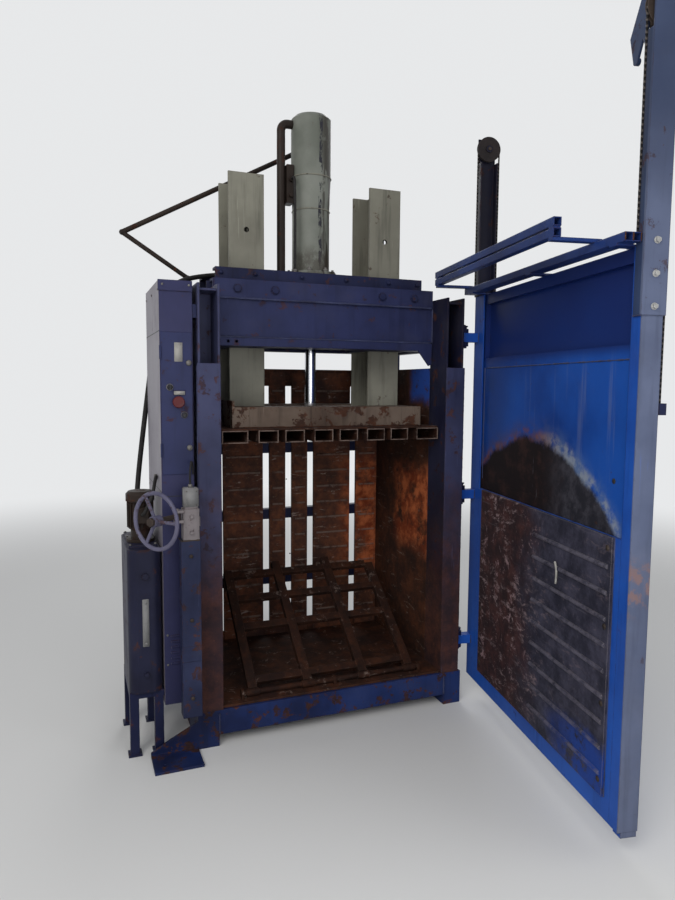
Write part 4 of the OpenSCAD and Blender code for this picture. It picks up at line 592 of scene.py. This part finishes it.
def bezier(pts, n=12):
    """Points along a smooth curve through the given ones."""
    pts = [Vector(p) for p in pts]
    out = []
    for i in range(len(pts) - 1):
        p0, p1, p2, p3 = pts[max(i - 1, 0)], pts[i], pts[i + 1], pts[min(i + 2, len(pts) - 1)]
        for k in range(n):
            t = k / n
            out.append(0.5 * ((2 * p1) + (p2 - p0) * t + (2 * p0 - 5 * p1 + 4 * p2 - p3) * t * t
                              + (3 * p1 - p0 - 3 * p2 + p3) * t ** 3))
    return out + [pts[-1]]


def block(bm, lo, hi, bev=0.0, at=None):
    """A box from corner to corner with bevelled edges; at turns its points into place."""
    vs = [bm.verts.new((x, y, z)) for x in (lo[0], hi[0]) for y in (lo[1], hi[1]) for z in (lo[2], hi[2])]
    fs = [bm.faces.new([vs[i] for i in q]) for q in
          ((0, 1, 3, 2), (4, 6, 7, 5), (0, 4, 5, 1), (2, 3, 7, 6), (0, 2, 6, 4), (1, 5, 7, 3))]
    new = set(vs)
    if bev:
        r = bmesh.ops.bevel(bm, geom=list({e for f in fs for e in f.edges}), offset=bev, segments=2, affect="EDGES")
        new = set(r["verts"]) | {v for v in vs if v.is_valid}
    if at is not None:
        for v in new:
            v.co = at(v.co)


def disc(bm, c, axis, r, h, seg=24, r2=None):
    """A short turned piece from c along axis."""
    q = Vector(UP).rotation_difference(Vector(axis)).to_matrix().to_4x4()
    bmesh.ops.create_cone(bm, cap_ends=True, segments=seg, radius1=r, radius2=r if r2 is None else r2, depth=h,
                          matrix=Matrix.Translation(Vector(c) + Vector(axis).normalized() * (h / 2)) @ q)


# ---------------------------------------------------------------- welds
b = bmesh.new()
weld_line(b, (-0.578, -0.3, 2.114), (0.578, -0.3, 2.114), 0.005)
weld_line(b, (-0.578, -0.3, 1.932), (0.578, -0.3, 1.932), 0.004)
for sx in (-1, 1):
    weld_line(b, (sx * 0.5845, -0.2915, 1.895), (sx * 0.5845, -0.2915, 2.15), 0.004)
    weld_line(b, (sx * 0.6905, -0.4475, 0.2), (sx * 0.6905, -0.4475, 1.79), 0.0035)
    weld_line(b, (sx * 0.604, -0.456, 0.16), (sx * 0.604, -0.456, 0.06), 0.004)
    for k in range(4):
        weld_line(b, (sx * 0.594, -0.27, 0.36 + 0.375 * k), (sx * 0.594, 0.3, 0.36 + 0.375 * k), 0.004)
weld_line(b, (-0.6, -0.4, 0.1765), (0.6, -0.4, 0.1765), 0.003)
piece("frame_welds", b, "weld", "machine")

b = bmesh.new()
for z, r in ((2.302, 0.100), (2.62, 0.0995), (2.79, 0.1055)):
    tube_along(b, [(r * math.cos(a / 60 * math.tau), r * math.sin(a / 60 * math.tau), z) for a in range(61)],
               0.0035, 6, wobble=0.3)
piece("barrel_welds", b, "cream", "machine")

b = bmesh.new()
for u in WEAR_U:
    weld_line(b, door(u, -0.0715, 0.205), door(u, -0.0715, 1.17), 0.003)
weld_line(b, door(WEAR_U[0], -0.0715, 0.204), door(WEAR_U[1], -0.0715, 0.204), 0.003)
weld_line(b, door(1.345, -0.0665, 1.943), door(1.39, -0.0665, 1.943), 0.003)
piece("door_welds", b, "weld", "door")

b = bmesh.new()
for u in GATE_U:
    weld_line(b, door(u, -0.0835, 1.226), door(u, -0.0835, 1.80), 0.003)
weld_line(b, door(GATE_U[0], -0.0835, 1.80), door(GATE_U[1], -0.0835, 1.80), 0.003)
for u in (0.06, 0.105, 0.68, 0.725, 1.29, 1.335):
    weld_line(b, door(u, -0.120, 2.1765), door(u, -0.070, 2.1765), 0.003)
for u in (0.0, 1.17):
    for v, z in ((-0.002, 2.2125), (0.13, 2.2255)):
        weld_line(b, door(u + 0.002, v, z), door(u + 0.028, v, z), 0.003)
piece("gate_welds", b, "weld", "gate")

# ---------------------------------------------------------------- fittings of the frame, cylinder, tank and cabinet
b = bmesh.new()
for k in range(8):
    a = math.radians(22.5 + 45 * k)
    x, y = 0.117 * math.cos(a), 0.117 * math.sin(a)
    disc(b, (x, y, FLANGE_Z), UP, 0.0125, 0.011, 6)
    disc(b, (x, y, FLANGE_Z + 0.011), UP, 0.007, 0.008, 12)
piece("flange_bolts", b, "steel_worn", "machine")

b = bmesh.new()
for x in (-0.53, -0.36, -0.12, 0.12, 0.36, 0.53):
    disc(b, (x, -0.215, 2.243), FRONT, 0.011, 0.008, 6)
piece("crosshead_bolts", b, "blue_shaded", "machine")

b = bmesh.new()
tube_along(b, bezier([(-0.1205, -0.052, 2.77), (-0.1205, -0.085, 2.765), (-0.1205, -0.096, 2.72),
                      (-0.119, -0.098, 2.60), (-0.119, -0.098, 2.45), (-0.119, -0.098, 2.275)]), 0.007, 10)
tube_along(b, bezier([(-0.93, -0.20, 1.01), (-0.93, -0.05, 1.03), (-0.90, 0.11, 1.25), (-0.84, 0.125, 1.7),
                      (-0.78, 0.12, 2.10), (-0.68, 0.10, 2.23), (-0.45, 0.16, 2.29), (-0.26, 0.11, 2.285)]), 0.013, 10)
tube_along(b, bezier([(-0.93, -0.352, 1.11), (-0.92, -0.385, 1.13), (-0.885, -0.36, 1.20), (-0.862, -0.30, 1.27),
                      (-0.852, -0.25, 1.27)]), 0.008, 8)
piece("hoses", b, "rubber", "machine")

b = bmesh.new()
for x, y, z in ((-0.119, -0.098, 2.27), (-0.26, 0.11, 2.27), (TANK_X, -0.20, 0.985)):
    disc(b, (x, y, z), UP, 0.016, 0.018, 6)
    disc(b, (x, y, z + 0.018), UP, 0.012, 0.014, 16, 0.010)
disc(b, (CABINET_LEFT, -0.25, 1.27), LEFT, 0.014, 0.012, 6)
piece("hose_fittings", b, "steel_worn", "machine")

b = bmesh.new()
block(b, (-0.9445, -0.4345, 0.52), (-0.9155, -0.430, 0.74), 0.002)
for z in (0.535, 0.725):
    disc(b, (TANK_X, TANK_FRONT, z), FRONT, 0.006, 0.004, 12)
piece("level_gauge", b, "grey_box", "machine")

b = bmesh.new()
for k in range(8):
    a = k * math.tau / 8
    disc(b, (TANK_X + 0.0225 * math.cos(a), MOTOR_Y + 0.0225 * math.sin(a), 0.976), UP, 0.004, 0.026, 8)
disc(b, (TANK_X, MOTOR_Y, 1.004), UP, 0.019, 0.006, 24, 0.014)
piece("filler_grip", b, "black", "machine")

b = bmesh.new()
for x in (-0.985, -0.875):
    for y in (-0.36, -0.26, -0.16, -0.06):
        disc(b, (x, y, 0.975), UP, 0.006, 0.005, 6)
piece("tank_lid_screws", b, "steel_worn", "machine")

b = bmesh.new()
for z in (0.42, 0.56, 2.14):
    for x in (-0.835, -0.72):
        disc(b, (x, CABINET_FRONT if z < 2 else -0.436, z), FRONT, 0.005, 0.003, 12)
for y in (-0.40, -0.17, 0.06):
    for z in (0.27, 1.2, 2.12):
        disc(b, (CABINET_LEFT, y, z), LEFT, 0.005, 0.003, 12)
piece("cabinet_screws", b, "steel_worn", "machine")

b = bmesh.new()
block(b, (-0.8505, -0.428, 1.937), (-0.8500, 0.088, 1.941))
block(b, (-0.8505, -0.428, 1.22), (-0.8500, 0.088, 1.223))
block(b, (-0.849, -0.4306, 1.2), (-0.706, -0.430, 1.204))
piece("cabinet_seams", b, "black", "machine", False)

b = bmesh.new()
for z in HINGE_ZS:
    disc(b, (HINGE.x, HINGE.y, z + 0.061), UP, 0.011, 0.006, 16, 0.007)
    tube_along(b, [(0.686, -0.415, z - 0.045), (0.686, -0.415, z - 0.026)], 0.003, 6, wobble=0.3)
    tube_along(b, [(0.7, -0.366, z - 0.047), (0.69, -0.3655, z - 0.047), (0.686, -0.3655, z - 0.03)], 0.003, 6)
piece("hinge_caps", b, "steel_dark", "machine")

b = bmesh.new()
for x in (-0.31, 0.0, 0.3):
    for k in range(5):
        disc(b, (x + 0.05 * rnd.uniform(-1, 1), 0.397, 0.45 + 0.23 * k), FRONT, 0.004, 0.004, 8)
piece("liner_rivets", b, "steel_dark", "machine")

# ---------------------------------------------------------------- fittings of the cabinet's door
b = bmesh.new()
block(b, (-0.787, -0.4348, 1.805), (-0.751, -0.4333, 1.889), 0.0006)
for z in (1.811, 1.883):
    disc(b, (-0.769, -0.4346, z), FRONT, 0.0018, 0.001, 8)
piece("bare_plate", b, "plate_white", "cabinet_door")
b = bmesh.new()
block(b, (-0.791, -0.4378, 1.6575), (-0.743, -0.4362, 1.6745), 0.0006)
piece("label_strip", b, "plate_white", "cabinet_door")
b = bmesh.new()
disc(b, (-0.724, -0.4333, 1.42), FRONT, 0.013, 0.009, 24, 0.011)
block(b, (-0.7255, -0.4475, 1.411), (-0.7225, -0.4420, 1.429), 0.0006)
disc(b, (-0.724, -0.4333, 1.80), FRONT, 0.013, 0.009, 24, 0.011)
piece("door_lock", b, "steel_worn", "cabinet_door")
b = bmesh.new()
for x, z, r in ((-0.773, 1.626, 0.0175), (-0.747, 1.568, 0.0135), (-0.809, 1.692, 0.0135)):
    tube_along(b, [(x + r * math.cos(a), -0.4375, z + r * math.sin(a)) for a in [math.tau * k / 32 for k in range(33)]],
               0.0018, 6)
piece("control_rings", b, "steel_worn", "cabinet_door")

# ---------------------------------------------------------------- the lock's switch cover and cable
b = bmesh.new()
block(b, (-0.770, -0.5465, 1.165), (-0.706, -0.488, 1.2515), 0.004)
block(b, (-0.764, -0.5485, 1.172), (-0.712, -0.546, 1.244), 0.001)
piece("switch_cover", b, "grey_box", "lock")
b = bmesh.new()
for x in (-0.760, -0.716):
    for z in (1.177, 1.239):
        disc(b, (x, -0.5485, z), FRONT, 0.003, 0.0018, 10)
disc(b, (-0.738, -0.517, 1.2515), UP, 0.010, 0.014, 6)
piece("switch_screws", b, "steel_worn", "lock")
b = bmesh.new()
tube_along(b, bezier([(-0.738, -0.517, 1.262), (-0.738, -0.515, 1.31), (-0.728, -0.49, 1.36), (-0.716, -0.455, 1.34),
                      (-0.712, -0.44, 1.30)]), 0.0045, 8)
piece("switch_cable", b, "rubber", "lock")
b = bmesh.new()
for z in (0.30, 0.66, 0.95):
    disc(b, (-0.7435, -0.552, z), FRONT, 0.009, 0.007, 6)
weld_line(b, (-0.786, -0.5525, 1.02), (-0.703, -0.5525, 1.02), 0.0035)
weld_line(b, (-0.7855, -0.551, 1.02), (-0.7855, -0.489, 1.02), 0.0035)
piece("lock_fasteners", b, "steel_dark", "lock")

# ---------------------------------------------------------------- the door's small pieces
b = bmesh.new()
for z in (0.26, 0.55, 0.84, 1.13):
    for u in (0.17, 1.27):
        disc(b, door(u, -0.060, z), tuple(V), 0.011, 0.0015, 16)
piece("wear_plate_plugs", b, "steel_dark", "door")
b = bmesh.new()
strip = bezier([door(0.917, -0.0545, 0.990), door(0.935, -0.0525, 0.955), door(0.926, -0.0560, 0.900)], 5)
tube_along(b, strip, 0.005, 4)
piece("bent_strip", b, "plate_white", "door")
b = bmesh.new()
block(b, (0, 0, 0), (0.02, 0.05, 0.12), 0.003, at=lambda p: door(1.345 + p.x, -0.125 + p.y, 2.865 + p.z))
disc(b, door(1.349, -0.113, 2.925), tuple(-U), 0.009, 0.006, 16)
disc(b, door(0.011, -0.113, 2.925), tuple(U), 0.009, 0.004, 16)
piece("axle_ends", b, "steel_dark", "door")
b = bmesh.new()
for z in HINGE_ZS:
    for k in (-1, 1):
        weld_line(b, door(0.024 * k, -0.0725, z - 0.022), door(0.024 * k, -0.0725, z + 0.022), 0.004)
piece("knuckle_welds", b, "weld", "door")

# ---------------------------------------------------------------- the gate's small pieces
# Black discs on the gate: painted shade for the dark insides of its holes.
b = bmesh.new()
for u, z in ((1.254, 1.369), (1.231, 1.186)):
    disc(b, door(u, -0.0842, z), tuple(V), 0.010, 0.0015, 20)
piece("gate_hole_shade", b, "black", "gate")
b = bmesh.new()
for u in (0.07, 0.69, 1.30):
    block(b, (0, 0, 0), (0.025, 0.040, 0.004), 0.001, at=lambda p: door(u + p.x, -0.115 + p.y, 2.1755 + p.z))
for v in (-0.062, -0.032):
    for q in (0, 1):
        weld_line(b, door(1.3795, v + 0.001 + q * 0.028, 2.184), door(1.3795, v + 0.001 + q * 0.028, 2.211), 0.0025)
piece("gate_clips", b, "rust", "gate")

# ---------------------------------------------------------------- platen and tray
b = bmesh.new()
for x in (-0.493, 0.493):
    weld_line(b, (x, -0.327, 1.4985), (x, -0.13, 1.4985), 0.004)
weld_line(b, (-0.49, -0.3265, 1.499), (0.49, -0.3265, 1.499), 0.004)
for sx in (-1, 1):
    for q in (-1, 1):
        weld_line(b, (sx * COLUMN_X - 0.088, q * 0.121, 1.499), (sx * COLUMN_X + 0.088, q * 0.121, 1.499), 0.004)
piece("platen_welds", b, "rust", "ram")
b = bmesh.new()
ct, st = math.cos(TRAY_ANGLE), math.sin(TRAY_ANGLE)


def tray(x, t, n):
    """A point t along the tray's bars from its rod and n above them."""
    return Vector((x, -0.386 + t * ct - n * st, 0.207 + t * st + n * ct))


for t in (0.04, 0.344, 0.522, 0.68):
    for x in (-0.425, -0.14, 0.1615, 0.425):
        for e in (-1, 1):
            if abs(x + e * 0.0225) < 0.44:
                weld_line(b, tray(x + e * 0.023, t + 0.002, 0.014), tray(x + e * 0.023, t + 0.035, 0.014), 0.003)
piece("tray_welds", b, "rust", "tray")

# ---------------------------------------------------------------- stage and light
def seen_directly(t):
    """1 for a ray that shows the background: to the camera, in a reflection or through glass."""
    path = t.nodes.new("ShaderNodeLightPath")
    total = path.outputs["Is Camera Ray"]
    for kind in ("Is Glossy Ray", "Is Transmission Ray"):
        n = t.nodes.new("ShaderNodeMath")
        n.operation = "MAXIMUM"
        t.links.new(total, n.inputs[0])
        t.links.new(path.outputs[kind], n.inputs[1])
        total = n.outputs[0]
    return total


BACKDROP = (0.80, 0.81, 0.82)
FADE_FROM, FADE_TO = 3.2, 8.0  # where the floor turns into the backdrop
SKY_STRENGTH = 0.42
bpy.ops.mesh.primitive_plane_add(size=60, location=(0, 0, 0))
floor = bpy.context.object
floor.name = "floor"
g = Graph("floor_stage")
g.finish((0.68, 0.68, 0.675), 0.9, spec=0.1)
far = g.step(g.f("SQRT", g.add(g.mul(g.x, g.x), g.mul(g.y, g.y))), FADE_FROM, FADE_TO)
white = g.t.nodes.new("ShaderNodeEmission")
white.inputs[0].default_value = (*BACKDROP, 1)
fade = g.t.nodes.new("ShaderNodeMixShader")
g.t.links.new(g.mul(far, seen_directly(g.t)), fade.inputs[0])
g.t.links.new(g.s.outputs[0], fade.inputs[1])
g.t.links.new(white.outputs[0], fade.inputs[2])
g.t.links.new(fade.outputs[0], g.out.inputs[0])
floor.data.materials.append(g.m)

w = bpy.data.worlds.new("world")
bpy.context.scene.world = w
w.use_nodes = True
t = w.node_tree
bg = t.nodes["Background"]
white = t.nodes.new("ShaderNodeBackground")
white.inputs[0].default_value = (*BACKDROP, 1)
white.inputs[1].default_value = 1.0
bg.inputs[0].default_value = (0.95, 0.97, 1.0, 1)
bg.inputs[1].default_value = SKY_STRENGTH
mixer = t.nodes.new("ShaderNodeMixShader")
t.links.new(seen_directly(t), mixer.inputs[0])
t.links.new(bg.outputs[0], mixer.inputs[1])
t.links.new(white.outputs[0], mixer.inputs[2])
t.links.new(mixer.outputs[0], t.nodes["World Output"].inputs[0])


def area(name, loc, target, size, power, col=(1, 1, 1)):
    """A soft lamp that looks at target."""
    ld = bpy.data.lights.new(name, "AREA")
    ld.size = size
    ld.energy = power
    ld.color = col
    lo = bpy.data.objects.new(name, ld)
    lo.location = loc
    lo.rotation_euler = (Vector(target) - Vector(loc)).to_track_quat("-Z", "Y").to_euler()
    bpy.context.scene.collection.objects.link(lo)


area("key", (-4.5, -5.0, 5.0), (0, -0.4, 1.2), 3.5, 210, (1.0, 0.98, 0.95))
area("fill", (4.5, -4.5, 3.0), (0, 0, 1.2), 4.0, 60)
area("back", (1.5, 4.5, 5.0), (0, 0, 1.6), 3.0, 90)
area("chamber", (-0.6, -3.2, 1.6), (0, 0.2, 0.8), 1.6, 22)

bpy.context.scene.view_settings.view_transform = "Standard"
bpy.context.view_layer.update()
